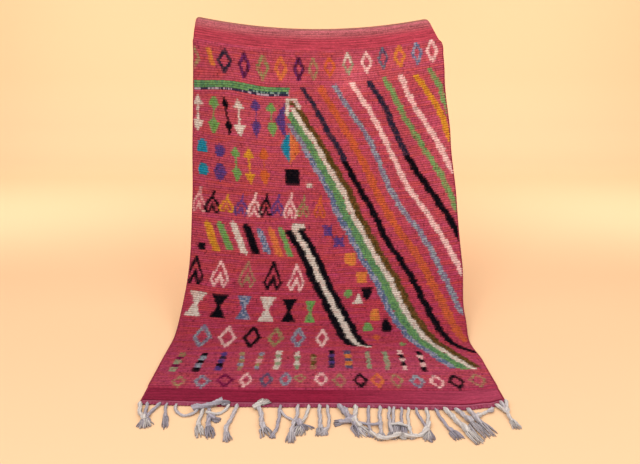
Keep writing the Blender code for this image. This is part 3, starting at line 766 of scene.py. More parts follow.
def make_pile_band(number, colours, material):
    """One quarter of the pile: row over row of knots, each a leaning tuft, its rim tucked in the cloth."""
    rng = np.random.default_rng(100 + number)
    rows = KNOT_ROWS // PILE_BANDS
    first = number * rows
    last_column = KNOTS * CELLS_A_KNOT
    last_row = rows * CELLS_A_ROW
    mesh, column, row, _ = grid_mesh(f"pile_{number + 1}", last_column + 2, last_row + 2)
    column, row = column - 1, row - 1
    rim = (column < 0) | (column > last_column) | (row < 0) | (row > last_row)
    cell_column, cell_row = column, row
    column, row = np.clip(column, 0, last_column), np.clip(row, 0, last_row)
    part = row % CELLS_A_ROW
    across = column * 2 / last_column - 1
    along = LOWER_FLATWEAVE + (first + row / CELLS_A_ROW) * ROW_PITCH
    knot = (np.minimum(row // CELLS_A_ROW, rows - 1), np.minimum(column // CELLS_A_KNOT, KNOTS - 1))
    uneven = rng.uniform(-1, 1, (rows, KNOTS))[knot] * (part > 0)
    stray = rng.uniform(-1, 1, (rows, KNOTS))[knot] * (part > 0)
    at_parting = (column % CELLS_A_KNOT == 0) & (part > 0)
    edge = (column > 0) & (column < last_column)
    shifts = row_shift()
    this_row = first + row // CELLS_A_ROW
    shift = shifts[np.minimum(this_row, KNOT_ROWS - 1)]
    below = shifts[np.clip(this_row - 1, 0, KNOT_ROWS - 1)]
    shift = np.where(part > 0, shift, (shift + below) / 2)
    across = across + shift * edge / (RUG_WIDTH / 2)
    along = along + row_bend(across * RUG_WIDTH / 2, along)
    lean = np.array(TUFT_LEAN)[part] + 0.0008 * stray
    place_along = along - lean * (row > 0) * (row < last_row)
    lift = thickness(across, along) + np.array(TUFT_RISE)[part]
    lift = lift + TUFT_UNEVEN * uneven - TUFT_PARTING * at_parting
    lift = np.maximum(lift, LEAST_RISE)
    lift[rim] = TUCKED_IN
    sideways = across + 0.0006 * stray * edge * at_parting / (RUG_WIDTH / 2)
    places = underside(sideways, place_along)
    places += facing(underside, sideways, place_along) * lift[:, None]
    mesh.vertices.foreach_set("co", places.ravel())

    # Neighbouring tufts mingle: a point between two knots takes either one's yarn
    leans_left = rng.integers(0, 2, (rows, last_column + 1))[knot[0], column]
    of_column = np.clip((column - leans_left) // CELLS_A_KNOT, 0, KNOTS - 1)
    of_row = first + row // CELLS_A_ROW - (part == 0) * rng.integers(0, 2, len(row))
    # Painted shade and highlight in the colour: dark furrows between the rows, streaking along each row, a little
    # darker at the partings between knots and a little lighter on the crests
    light = np.array(TUFT_LIGHT)[part] * (1 - 0.05 * at_parting)
    open_furrow = 0.26 * streaks(rng, rows, last_column + 1, 24)[knot[0], column]
    light *= 1 + (part == 0) * (open_furrow + rng.uniform(-0.16, 0.16, len(row)))
    write_colours(mesh, colours[np.clip(of_row, 0, KNOT_ROWS - 1), of_column] * light[:, None], "POINT")
    spot = corners_of(mesh).ravel()
    write_uv(mesh, "OFBake", np.stack([
        (cell_column[spot] + 1) / (last_column + 2), (cell_row[spot] + 1) / (last_row + 2)
    ], axis=-1))
    write_uv(mesh, "cloth", np.stack([across[spot] * RUG_WIDTH / 2, along[spot]], axis=-1))
    return new_piece(mesh, material)


# The cloth under the pile

LOWER_END_ROWS = 22
UPPER_END_ROWS = 30
BACK_THICKNESS = 0.0045
# The upper end's weft lies in ribs like the pile's rows, which fade out where it is rolled back
UPPER_RIB_ROWS = 3
UPPER_RIB_RISE = 0.0011
UPPER_RIBS_END = RUG_LENGTH - 0.035
LOWER_LINES = ((0.0235, "#a8586e"), (0.0285, "#b0607a"), (0.0340, "#641730"), (0.0390, "#7a1c36"))


def flat_end_colours(x, along):
    """The weft of the flat-woven ends: raspberry below, paler and pinker above."""
    share = (x / RUG_WIDTH + 0.5) * 2
    left, middle, right = (np.array(linear(colour)) for colour in LOWER_END_COLOURS)
    lower = mixed(mixed(left, middle, np.clip(share, 0, 1)), right, np.clip(share - 1, 0, 1))
    for level, colour in LOWER_LINES:
        lower = mixed(lower, linear(colour), (np.abs(along - level) < 0.0027) * 0.85)
    upper_share = eased((along - (RUG_LENGTH - UPPER_FLATWEAVE) - 0.05) / 0.05)
    upper = mixed(linear(UPPER_END_COLOURS[0]), linear(UPPER_END_COLOURS[1]), upper_share)
    return np.where((along > RUG_LENGTH / 2)[..., None], upper, lower)


def make_cloth(colours, material):
    """The closed cloth: flat-woven ends, and behind the pile the backs of its knots, row by row."""
    rng = np.random.default_rng(31)
    rows = LOWER_END_ROWS + KNOT_ROWS + UPPER_END_ROWS
    mesh, column, row, front = grid_mesh("rug_cloth", KNOTS, rows, doubled=True)
    levels = np.concatenate([
        np.linspace(TWINED_WIDTH + PIECE_GAP, LOWER_FLATWEAVE, LOWER_END_ROWS, endpoint=False),
        LOWER_FLATWEAVE + np.arange(KNOT_ROWS) * ROW_PITCH,
        np.linspace(RUG_LENGTH - UPPER_FLATWEAVE, RUG_LENGTH, UPPER_END_ROWS + 1),
    ])
    across = column * 2 / KNOTS - 1
    along = levels[row]
    along = along + row_bend(across * RUG_WIDTH / 2, along)
    in_pile = (along > LOWER_FLATWEAVE + 1e-6) & (along < RUG_LENGTH - UPPER_FLATWEAVE - 1e-6)
    lift = np.where(in_pile, BACK_THICKNESS, FLATWEAVE_THICKNESS) * front
    rib_row = row - (rows - UPPER_END_ROWS)
    ribbed = (rib_row > 0) & (along < UPPER_RIBS_END) & front
    lift += UPPER_RIB_RISE * ribbed * np.array((-1.0, 1.0, 0.6))[rib_row % UPPER_RIB_ROWS]
    places = underside(across, along) + facing(underside, across, along) * lift[:, None]
    mesh.vertices.foreach_set("co", places.ravel())

    corners = corners_of(mesh)
    face_column = np.clip(column[corners].min(axis=1), 0, KNOTS - 1)
    face_row = np.clip(row[corners].min(axis=1), 0, rows - 1)
    knot_row = np.clip(face_row - LOWER_END_ROWS, 0, KNOT_ROWS - 1)
    of_knots = (face_row >= LOWER_END_ROWS) & (face_row < LOWER_END_ROWS + KNOT_ROWS)
    x = (face_column + 0.5) / KNOTS * RUG_WIDTH - RUG_WIDTH / 2
    middle_along = along[corners].mean(axis=1)
    flat = flat_end_colours(x, middle_along)
    uneven = 0.22 * streaks(rng, rows, KNOTS, 14) + 0.14 * streaks(rng, rows, KNOTS, 3)
    near_top = eased((middle_along - RUG_LENGTH + 0.075) / 0.03)
    speckle = rng.uniform(-1, 1, (rows, KNOTS))[face_row, face_column] * (0.08 + 0.15 * near_top)
    flat *= ((1 + uneven[face_row, face_column] + speckle) * light_across(x))[:, None]
    # Painted shade: the upper end's rib furrows are darkened, by an amount that streaks along each row
    upper_row = face_row - (rows - UPPER_END_ROWS)
    in_furrow = (upper_row >= 0) & (upper_row % UPPER_RIB_ROWS == 2) & (middle_along < UPPER_RIBS_END)
    depth = 0.70 + 0.24 * streaks(rng, rows, KNOTS, 9)[face_row, face_column]
    flat *= np.where(in_furrow, depth, 1.0)[:, None]
    flat = mixed(flat, linear(EDGE_LINE_COLOUR), eased((middle_along - RUG_LENGTH + 0.026) / 0.012) * 0.5)
    backs = mixed(colours[knot_row, face_column], linear("#a9626a"), np.full(len(x), 0.16))
    shade = np.where(of_knots[:, None], backs, flat)
    write_colours(mesh, np.repeat(shade[:, None, :], 4, axis=1))
    spot = corners.ravel()
    half = np.where(front[spot], 0.5, 0.0)
    write_uv(mesh, "OFBake", np.stack([
        half + column[spot] / KNOTS * 0.49, row[spot] / rows
    ], axis=-1))
    write_uv(mesh, "cloth", np.stack([across[spot] * RUG_WIDTH / 2, along[spot]], axis=-1))
    return new_piece(mesh, material)


# The overcast side edges

OVERCAST_WIDTH = 0.0095
OVERCAST_INWARDS = 0.0030
OVERCAST_STANDS = 0.0012
WRAP_PITCH = 0.0055
WRAP_RELIEF = 0.09
OVERCAST_COLOURS = ("#a23a50", "#8e3047")


def make_side_edge(side, material):
    """Ground-coloured wool wrapped round the outermost warps, wrap by wrap up the whole side."""
    rng = np.random.default_rng(50 + side)
    around = 8
    start, end = TWINED_WIDTH + PIECE_GAP, RUG_LENGTH - 0.002
    wraps = round((end - start) / WRAP_PITCH)
    name = "overcast_left" if side < 0 else "overcast_right"
    mesh, column, row, _ = grid_mesh(name, around, wraps * 2)
    along = start + (end - start) * row / (wraps * 2)
    across = np.full(len(row), side * (1 - OVERCAST_INWARDS / (RUG_WIDTH / 2)))
    angle = column / around * 2 * math.pi
    upwards = facing(underside, across, along)
    outwards = underside(across, along) - underside(across * 0.997, along)
    outwards /= np.linalg.norm(outwards, axis=-1, keepdims=True)
    tall = thickness(across, along) + OVERCAST_STANDS
    relief = 1 + WRAP_RELIEF * np.where(row % 2, 1, -1) + 0.04 * rng.uniform(-1, 1, wraps * 2 + 1)[row]
    places = underside(across, along) + upwards * (tall / 2)[:, None]
    places += outwards * (np.cos(angle) * OVERCAST_WIDTH / 2 * relief)[:, None]
    places += upwards * (np.sin(angle) * tall / 2 * relief)[:, None]
    places[:, 2] = np.maximum(places[:, 2], 0.0003)
    mesh.vertices.foreach_set("co", places.ravel())
    dye = rng.uniform(0, 1, wraps + 1)[row // 2]
    wool = mixed(linear(OVERCAST_COLOURS[0]), linear(OVERCAST_COLOURS[1]), dye)
    # Painted shade: the grooves between the wraps are darkened and the wraps' crests a little lightened
    write_colours(mesh, wool * np.where(row % 2, 1.06, 0.66)[:, None], "POINT")
    spot = corners_of(mesh).ravel()
    write_uv(mesh, "OFBake", np.stack([column[spot] / around, row[spot] / (wraps * 2)], axis=-1))
    write_uv(mesh, "cloth", np.stack([angle[spot] * 0.0015, along[spot]], axis=-1))
    bm = bmesh.new()
    bm.from_mesh(mesh)
    close_tube(bm)
    bm.to_mesh(mesh)
    bm.free()
    return new_piece(mesh, material)


# The twined edge and the fringe

TWIST_PITCH = 0.013
TWIST_RISE = 0.0014
# Wool, the cotton showing through, and the deep red of the painted shade under the edge
TWINED_COLOURS = ("#8f3452", "#a66076", "#6c1830")

# A bundle of warp ends: its course as (x, how far in front of the rug, how far up) in centimetres,
# how thick it is and where it is knotted (share of its length), and its frayed brush, in metres
Bundle = namedtuple("Bundle", "course thick knots brush spread", defaults=((), 0.0, 0.0))
BUNDLES = (
    # the left corner's three roots, gathered in one knot over one soft brush
    Bundle(((-75.2, 0.0, 0), (-74.0, 5.4, 0), (-71.8, 9.0, 0.3), (-70.4, 11.4, 0.4)), 0.016, (0.9,), 0.062, 0.048),
    Bundle(((-72.4, 0.0, 0), (-71.6, 5.0, 0), (-70.6, 10.4, 0.8)), 0.013, (), 0.066, 0.044),
    Bundle(((-67.2, 0.0, 0), (-69.2, 5.0, 0), (-69.9, 10.6, 0.4)), 0.014, (), 0.062, 0.040),
    Bundle(((-64.3, 0.0, 0), (-64.0, 4.0, 0), (-62.7, 8.6, 0)), 0.011, (0.88,), 0.088, 0.024),
    # the loop that runs to the next knot, and the bundle that lies back over the band
    Bundle(((-60.4, 0.2, 0), (-59.4, 4.4, 0), (-55.8, 7.2, 0), (-52.4, 6.2, 0.4), (-50.6, 3.2, 0.8)), 0.012),
    Bundle(((-53.0, 4.0, 0.5), (-49.4, 2.0, 0.7), (-46.0, 0.4, 0.4), (-41.6, -1.4, 0.4)), 0.022, (0.10, 0.92), 0.038, 0.036),
    Bundle(((-48.9, 2.6, 0), (-49.0, 8.0, 0), (-48.9, 12.4, 0), (-48.5, 14.4, 0)), 0.015, (0.92,), 0.074, 0.040),
    Bundle(((-46.4, 2.6, 0), (-45.4, 8.0, 0), (-45.1, 12.6, 0), (-44.6, 15.0, 0)), 0.016, (0.50, 0.93), 0.076, 0.040),
    Bundle(((-45.4, 8.6, 1.0), (-43.0, 9.2, 0.3)), 0.014, (0.4,), 0.032, 0.028),
    Bundle(((-47.2, 5.6, 0.8), (-42.6, 5.6, 0), (-40.0, 3.0, 0), (-38.8, -0.4, 0)), 0.013),
    Bundle(((-35.6, 0.0, 0), (-36.3, 6.0, 0), (-37.4, 12.6, 0), (-37.7, 16.0, 0), (-37.2, 18.2, 0)), 0.015, (0.84,), 0.062, 0.026),
    # the knot with a tail over the band and its pair of legs
    Bundle(((-28.8, 1.8, 0.3), (-27.0, 0.8, 0.7), (-25.8, -1.4, 0.4)), 0.018, (0.35,), 0.050, 0.050),
    Bundle(((-28.4, 0.4, 0), (-26.0, 2.8, 0.3), (-25.0, 7.6, 0), (-24.2, 13.0, 0), (-23.2, 15.4, 0)), 0.018, (0.88,), 0.058, 0.058),
    Bundle(((-18.1, 0.2, 0), (-18.1, 8.0, 0), (-18.4, 14.0, 0), (-19.6, 19.4, 0)), 0.013, (), 0.022, 0.014),
    Bundle(((-17.8, 3.2, 0.4), (-15.2, 7.0, 0), (-12.2, 10.2, 0.6), (-10.0, 11.8, 0.9)), 0.011),
    Bundle(((-10.9, 0.0, 0), (-11.2, 7.6, 0), (-12.3, 13.0, 0.3), (-12.7, 17.6, 0)), 0.014, (0.68, 0.93), 0.070, 0.028),
    Bundle(((-6.6, 0.0, 0), (-7.3, 5.6, 0), (-8.8, 10.6, 0.4), (-9.4, 12.8, 0.7)), 0.013, (0.93,), 0.076, 0.046),
    Bundle(((-10.4, 11.2, 1.0), (-9.2, 13.6, 0.4)), 0.018, (0.3,), 0.044, 0.084),
    Bundle(((-2.3, 0.0, 0), (-2.0, 8.0, 0), (-1.8, 15.0, 0)), 0.015, (0.96,), 0.050, 0.050),
    Bundle(((0.9, 0.0, 0), (1.5, 8.0, 0), (1.2, 13.4, 0), (-0.6, 16.4, 0)), 0.012, (0.94,), 0.036, 0.026),
    # the thick slanted bundle, with its second root and its tail to the left
    Bundle(((5.8, 0.0, 0), (7.8, 4.0, 0), (9.8, 9.0, 0.6), (11.8, 13.0, 0.3)), 0.021, (0.34, 0.78), 0.078, 0.056),
    Bundle(((7.8, 0.4, 0), (8.8, 4.6, 0.5), (10.4, 9.4, 0.6)), 0.013),
    Bundle(((12.3, 0.2, 0), (12.0, 5.2, 0), (11.2, 10.2, 1.0), (13.6, 14.4, 0.6)), 0.018, (0.72,), 0.064, 0.054),
    Bundle(((11.0, 10.4, 0.8), (7.6, 10.8, 0.3), (5.2, 10.8, 0.1)), 0.019, (0.3,), 0.028, 0.034),
    # six thin roots that run together in a tangle, with two openings
    Bundle(((17.6, 0.2, 0), (17.0, 7.0, 0), (16.8, 13.0, 0), (17.2, 17.6, 0.2)), 0.012, (0.66,), 0.032, 0.022),
    Bundle(((22.2, 0.2, 0), (21.5, 6.4, 0), (21.2, 12.4, 0.3), (20.9, 18.0, 0)), 0.014, (0.66,), 0.046, 0.036),
    Bundle(((25.9, 0.2, 0), (25.2, 5.6, 0), (24.9, 12.0, 0.5), (25.1, 17.0, 0.2)), 0.012, (0.70,), 0.046, 0.040),
    Bundle(((27.7, 0.2, 0), (26.8, 6.0, 0), (26.2, 12.4, 0.3)), 0.012, (0.95,), 0.080, 0.052),
    Bundle(((30.8, 0.2, 0), (30.0, 6.0, 0), (29.2, 12.2, 0.3)), 0.011, (0.9,), 0.068, 0.056),
    Bundle(((33.5, 0.2, 0), (32.5, 6.8, 0), (32.1, 13.2, 0), (32.2, 18.0, 0.2)), 0.012, (0.72,), 0.030, 0.024),
    Bundle(((12.0, 11.4, 0.9), (16.8, 12.6, 0.7), (21.6, 12.8, 1.0)), 0.010, (0.9,)),
    Bundle(((24.8, 12.8, 1.1), (28.4, 12.2, 1.0), (32.2, 13.2, 0.8)), 0.010, (0.5,)),
    Bundle(((16.8, 17.4, 0.4), (20.4, 21.0, 0.4), (24.2, 20.6, 0.7), (28.0, 18.6, 0.8)), 0.015, (0.4, 0.9), 0.050, 0.040),
    Bundle(((38.4, 14.4, 0.8), (36.0, 17.4, 0), (32.6, 19.0, 0.4), (29.4, 19.0, 0.6)), 0.016, (0.10,), 0.026, 0.026),
    Bundle(((36.6, 0.2, 0), (37.0, 5.2, 0), (38.2, 10.2, 0.2), (38.7, 14.4, 0.4)), 0.012, (0.85,), 0.078, 0.028),
    Bundle(((40.7, 0.2, 0), (40.5, 5.0, 0), (39.6, 10.4, 0.7), (38.7, 15.6, 0.6)), 0.014, (0.72,), 0.060, 0.030),
    # the four slanted bundles near the right corner
    Bundle(((44.4, 0.4, 0), (45.2, 5.4, 0), (46.4, 10.6, 0), (48.0, 15.2, 0)), 0.013, (0.95,), 0.060, 0.044),
    Bundle(((48.2, 0.4, 0), (50.2, 6.0, 0), (52.2, 11.0, 0), (54.2, 15.6, 0)), 0.021, (0.84,), 0.080, 0.048),
    Bundle(((52.6, 0.4, 0), (54.9, 5.4, 0.2), (56.6, 10.0, 0.8)), 0.019, (0.8,), 0.106, 0.052),
    Bundle(((57.5, 0.4, 0), (58.8, 5.4, 0), (60.4, 10.6, 0)), 0.019, (0.6,), 0.088, 0.046),
    Bundle(((64.4, 3.4, 0.2), (62.0, 4.2, 0), (59.4, 6.6, 0.9)), 0.014, (0.7,)),
    Bundle(((67.4, 0.8, 0), (66.6, 2.6, 0.2), (63.6, 3.6, 0.4)), 0.014, (0.5,)),
    # the right corner's tassel: three roots and a narrow waist
    Bundle(((69.6, 0.2, 0.1), (71.0, 3.4, 0.3), (72.2, 7.2, 0.3)), 0.017),
    Bundle(((71.9, -0.2, 0.1), (72.2, 3.6, 0.4), (72.3, 7.4, 0.4)), 0.016),
    Bundle(((74.0, -0.4, 0.1), (73.4, 3.2, 0.2), (72.3, 7.2, 0.2), (72.8, 12.6, 0)), 0.015, (0.45,), 0.058, 0.034),
)
RING_STEP = 0.0035
PLY_PITCH = 0.060
PLIES = 4
THREADS_A_BRUSH = 15
THREAD_RADIUS = 0.0022
COTTON_COLOURS = ("#c0bac0", "#aca6b2", "#d2ccca")
COTTON_DIRT = "#7a5a54"
ON_THE_BAND = 0.0072
ON_THE_FLOOR = 0.0003
KNOT_REACH = 0.017
KNOT_SWELL = 0.38


def edge_line():
    """The rug's very lower edge on the floor, from left to right."""
    across = np.linspace(-1, 1, 121)
    return underside(across, np.zeros_like(across))


def smooth_course(points):
    """A smooth line through the given points, in steps of about RING_STEP."""
    points = [Vector(p) for p in points]
    ends = [2 * points[0] - points[1], *points, 2 * points[-1] - points[-2]]
    course = []
    for a, b, c, d in zip(ends, ends[1:], ends[2:], ends[3:]):
        steps = max(2, round((c - b).length / RING_STEP))
        for step in range(steps):
            t = step / steps
            course.append(0.5 * (
                2 * b + (c - a) * t + (2 * a - 5 * b + 4 * c - d) * t * t
                + (3 * b - a - 3 * c + d) * t ** 3))
    return course + [points[-1]]


def add_tube(bm, tint, course, sizes, around, plies=0, turn=0.0, colours=None):
    """A tube rolled up along a course, its plies a twisted relief, its sizes and colours by ring."""
    rings = len(course)
    made = bmesh.ops.create_grid(bm, x_segments=around, y_segments=rings - 1, size=0.5)["verts"]
    travelled = [0.0]
    for a, b in zip(course, course[1:]):
        travelled.append(travelled[-1] + (b - a).length)
    seam = []
    for point in made:
        share = point.co.x + 0.5
        ring = round((point.co.y + 0.5) * (rings - 1))
        ahead = course[min(ring + 1, rings - 1)] - course[max(ring - 1, 0)]
        sideways = Vector((ahead.y, -ahead.x, 0)).normalized()
        upwards = sideways.cross(ahead).normalized()
        if upwards.z < 0:
            upwards = -upwards
        angle = share * 2 * math.pi
        width, height = sizes[ring]
        twist = travelled[ring] / PLY_PITCH * 2 * math.pi
        crest = math.cos(plies * angle + turn + twist) if plies else 0.0
        out = sideways * math.cos(angle) * width / 2 + upwards * math.sin(angle) * height / 2
        point.co = course[ring] + out * (1 + 0.16 * crest)
        point.co.z = max(point.co.z, ON_THE_FLOOR)
        # Painted shade: each tube is darker on its underside and sides than on top, and lighter on its ply crests than
        # in the grooves between them
        light = (1 + 0.20 * crest) * (0.72 + 0.34 * max(0.0, math.sin(angle)))
        point[tint] = (*(c * light for c in colours[ring][:3]), 1.0)
        if share < 0.001 or share > 0.999:
            seam.append(point)
    bmesh.ops.remove_doubles(bm, verts=seam, dist=1e-5)


def knot_swell(share, knots, length):
    """How much thicker a bundle is at its knots, with the wraps of each knot as ridges."""
    swell = 1.0
    for knot in knots:
        away = (share - knot) * length / KNOT_REACH
        if abs(away) < 1:
            swell += KNOT_SWELL * (1 - away * away) * (1 + 0.22 * math.cos(away * 11))
    return swell


def make_fringe(material):
    """The warp ends as bundles of twisted cotton, knotted, frayed and tangled on the floor."""
    rng = random.Random(5)
    whole = bmesh.new()
    edge = edge_line()
    dirt = linear(COTTON_DIRT)

    def on_floor(x, forward, up, thick):
        y = float(np.interp(x / 100, edge[:, 0], edge[:, 1])) - forward / 100
        resting = ON_THE_BAND * min(1.0, max(0.0, 0.6 - forward))
        return Vector((x / 100, y, thick / 2 + resting + up / 100))

    for bundle in BUNDLES:
        bm = bmesh.new()
        tint = bm.verts.layers.float_color.new("yarn")
        points = [on_floor(*spot, bundle.thick * 0.85) for spot in bundle.course]
        rooted = -0.5 < bundle.course[0][1] < 0.7
        if rooted:
            points.insert(0, points[0] + Vector((0, 0.007, -0.0035)))
        course = smooth_course(points)
        length = sum((b - a).length for a, b in zip(course, course[1:]))
        last = len(course) - 1
        sway = rng.uniform(0, 6.3)
        base = linear(rng.choice(COTTON_COLOURS))
        sizes, colours = [], []
        for ring, spot in enumerate(course):
            share = ring / last
            uneven = 1 + 0.09 * math.sin(share * length * 190 + sway) + 0.05 * math.sin(share * length * 430)
            swell = knot_swell(share, bundle.knots, length)
            thick = bundle.thick * uneven * swell
            end = min(1.0, 0.35 + (last - ring) * 0.22) if not bundle.brush else 1.0
            if rooted:
                end = min(end, 0.62 + ring * 0.10)
            sizes.append((thick * end, thick * 0.86 * end))
            spot.z += max(0.0, swell - 1) * bundle.thick * 0.40
            light = rng.uniform(0.90, 1.04)
            colours.append((*(c * light for c in base), 1.0))
        for ring in range(len(course)):
            course[ring].x += 0.0012 * math.sin(ring * 0.31 + sway)
        add_tube(bm, tint, course, sizes, 16, plies=PLIES, turn=sway, colours=colours)
        if bundle.brush:
            add_brush(bm, tint, rng, bundle, course, base, dirt)
        cap_and_turn_out(bm)
        made = bpy.data.meshes.new("bundle")
        bm.to_mesh(made)
        bm.free()
        whole.from_mesh(made)
        bpy.data.meshes.remove(made)
    mesh = bpy.data.meshes.new("fringe_bundles")
    whole.to_mesh(mesh)
    whole.free()
    return new_piece(mesh, material)


def add_brush(bm, tint, rng, bundle, course, base, dirt):
    """The frayed end of a bundle: soft loose threads, fanned out a little and lying on each other."""
    tip = course[-1]
    heading = (course[-1] - course[-4]) * Vector((1, 1, 0))
    heading.normalize()
    beside = Vector((heading.y, -heading.x, 0))
    resting = ON_THE_BAND if bundle.course[-1][1] < 0 else 0.0
    steps = 9
    for thread in range(THREADS_A_BRUSH):
        share = thread / (THREADS_A_BRUSH - 1) * 2 - 1
        size = bundle.brush * rng.uniform(0.80, 1.04) * (1 - 0.14 * share * share)
        near = bundle.thick * 0.48 * (share + rng.uniform(-0.2, 0.2))
        far = bundle.spread / 2 * (share + rng.uniform(-0.16, 0.16))
        curl = rng.uniform(-0.007, 0.007)
        level = rng.uniform(0.0, 0.7) * bundle.thick * (1 - 0.6 * abs(share))
        shade = rng.uniform(0.56, 1.16)
        tips = rng.uniform(0.1, 0.75)
        line, sizes, colours = [], [], []
        for step in range(steps + 1):
            t = step / steps
            fan = near + (far - near) * t ** 0.35 + curl * t * math.sin(t * 4 + share * 5)
            spot = tip + heading * (size * t - 0.008) + beside * fan
            radius = THREAD_RADIUS * (1.25 - 0.35 * t)
            spot.z = resting + radius + level * (1 - t) ** 0.5
            line.append(spot)
            sizes.append((radius * 2 * (0.55 if step == steps else 1.0),) * 2)
            dirty = tips * t ** 3
            colours.append((*(c * shade * (1 - dirty) + d * dirty for c, d in zip(base, dirt)), 1.0))
        add_tube(bm, tint, line, sizes, 5, colours=colours)


def make_twined_edge(material):
    """The last rows of the rug: weft pairs twined round the warps, pale with the ends' cotton."""
    columns, around = 720, 10
    rng = np.random.default_rng(41)
    mesh, column, row, _ = grid_mesh("twined_edge", columns, around)
    edge = edge_line()
    x = np.interp(column / columns, np.linspace(0, 1, len(edge)), edge[:, 0])
    front = np.interp(x, edge[:, 0], edge[:, 1])
    angle = row / around * 2 * math.pi
    slack = np.interp(x, np.linspace(-0.8, 0.8, 130), rng.uniform(-1, 1, 130))
    twist = np.sin(x / TWIST_PITCH * 2 * math.pi + angle + 1.4 * slack) * (0.75 + 0.5 * slack)
    deep = TWINED_WIDTH / 2 - 0.0003
    high = TWINED_CREST / 2 + TWIST_RISE / 2
    shape = 1 + 0.13 * twist
    scallop = 0.0012 * np.sin(x / TWIST_PITCH * math.pi * 2 + 1.4 * slack) + 0.0014 * slack
    y = front + TWINED_WIDTH / 2 - np.cos(angle) * deep * (1 + 0.04 * twist) - scallop * (np.cos(angle) > 0.5)
    z = high + np.sin(angle) * high * shape
    z = np.maximum(z, 0.0002)
    mesh.vertices.foreach_set("co", np.stack([x, y, z], axis=-1).ravel())
    bm = bmesh.new()
    bm.from_mesh(mesh)
    close_tube(bm)
    tint = bm.verts.layers.float_color.new("yarn")
    wool, white, underside_shade = (np.array(linear(colour)) for colour in TWINED_COLOURS)
    wear = rng.uniform(0, 1, 260)
    for point in bm.verts:
        worn = float(np.interp(point.co.x, np.linspace(-0.8, 0.8, 260), wear))
        phase = math.sin(point.co.x / TWIST_PITCH * 2 * math.pi + worn * 2)
        share = 0.65 * worn * worn + 0.25 * max(0.0, phase)
        colour = wool * (1 - share) + white * share
        # Painted shade: the lower part of the twined edge, near the floor, darkens towards a deep red
        low = min(1.0, max(0.0, 1 - point.co.z / 0.004)) * 0.75
        point[tint] = (*(colour * (1 - low) + underside_shade * low), 1.0)
    bm.to_mesh(mesh)
    bm.free()
    return new_piece(mesh, material)


# Materials

def add_node(tree, kind, links=(), **settings):
    """A node with its settings; links are (input name or number, output socket or value)."""
    node = tree.nodes.new(kind)
    for name, value in settings.items():
        setattr(node, name, value)
    for name, value in links:
        if isinstance(value, bpy.types.NodeSocket):
            tree.links.new(value, node.inputs[name])
        else:
            node.inputs[name].default_value = value
    return node


def new_material(name):
    material = bpy.data.materials.new(name)
    material.use_nodes = True
    return material, material.node_tree, material.node_tree.nodes["Principled BSDF"]


def spun_fibres(tree, place, a_metre, detail=2.0):
    """The fibres of spun yarn: a noise drawn out by how many there are a metre each way."""
    drawn_out = add_node(tree, "ShaderNodeMapping", [(0, place), ("Scale", a_metre)]).outputs[0]
    noise = [("Vector", drawn_out), ("Scale", 1.0), ("Detail", detail)]
    return add_node(tree, "ShaderNodeTexNoise", noise).outputs[0]


def finish_shader(tree, shader, colour, height, strength, depth, roughness, sheen):
    """A matt yarn's finish: its colour, its relief, and a soft sheen of its own colour."""
    relief = [("Height", height), ("Strength", strength), ("Distance", depth)]
    bump = add_node(tree, "ShaderNodeBump", relief).outputs[0]
    tree.links.new(colour, shader.inputs["Base Color"])
    tree.links.new(bump, shader.inputs["Normal"])
    tree.links.new(colour, shader.inputs["Sheen Tint"])
    shader.inputs["Roughness"].default_value = roughness
    shader.inputs["Specular IOR Level"].default_value = 0.04
    shader.inputs["Sheen Weight"].default_value = sheen
    shader.inputs["Sheen Roughness"].default_value = 0.6


def mottled(tree, colour, noise, low, high):
    """A colour made lighter and darker by a noise, between two brightnesses."""
    level = add_node(tree, "ShaderNodeMapRange", [
        (0, noise), ("From Min", 0.3), ("From Max", 0.7), ("To Min", low), ("To Max", high)])
    return add_node(tree, "ShaderNodeVectorMath", [(0, colour), ("Scale", level.outputs[0])],
                    operation="SCALE").outputs[0]


def pile_material():
    """Hand-knotted wool pile: each knot's own dye, soft tips of spun yarn, matt with a woolly sheen."""
    material, tree, shader = new_material("hand-knotted wool pile")
    yarn = add_node(tree, "ShaderNodeAttribute", attribute_name="yarn").outputs["Color"]
    cloth = add_node(tree, "ShaderNodeUVMap", uv_map="cloth").outputs[0]
    # Yarn ends are about 2 mm thick and lie down the cloth, so the noise is stretched that way
    tips = spun_fibres(tree, cloth, (520.0, 170.0, 1.0))
    colour = mottled(tree, yarn, tips, 0.86, 1.12)
    finish_shader(tree, shader, colour, tips, strength=0.7, depth=0.0012, roughness=0.95, sheen=0.25)
    return material


def cloth_material():
    """Flat weave and knot backs: fine weft ribs across the cloth over every warp, matt."""
    material, tree, shader = new_material("flat-woven wool")
    yarn = add_node(tree, "ShaderNodeAttribute", attribute_name="yarn").outputs["Color"]
    cloth = add_node(tree, "ShaderNodeUVMap", uv_map="cloth").outputs[0]
    # One weft pick is about 3.5 mm with this thick yarn, and a warp pair comes every 7 mm
    picks = add_node(tree, "ShaderNodeTexWave", [
        ("Vector", cloth), ("Scale", 2 * math.pi / (20 * 0.0035)), ("Distortion", 0.6), ("Detail", 1.0)],
        wave_type="BANDS", bands_direction="Y").outputs["Fac"]
    spun = spun_fibres(tree, cloth, (60.0, 420.0, 1.0), detail=3.0)
    colour = mottled(tree, yarn, spun, 0.80, 1.16)
    height = add_node(tree, "ShaderNodeMath", [(0, picks), (1, spun)], operation="ADD").outputs[0]
    finish_shader(tree, shader, colour, height, strength=0.6, depth=0.0012, roughness=0.92, sheen=0.15)
    return material


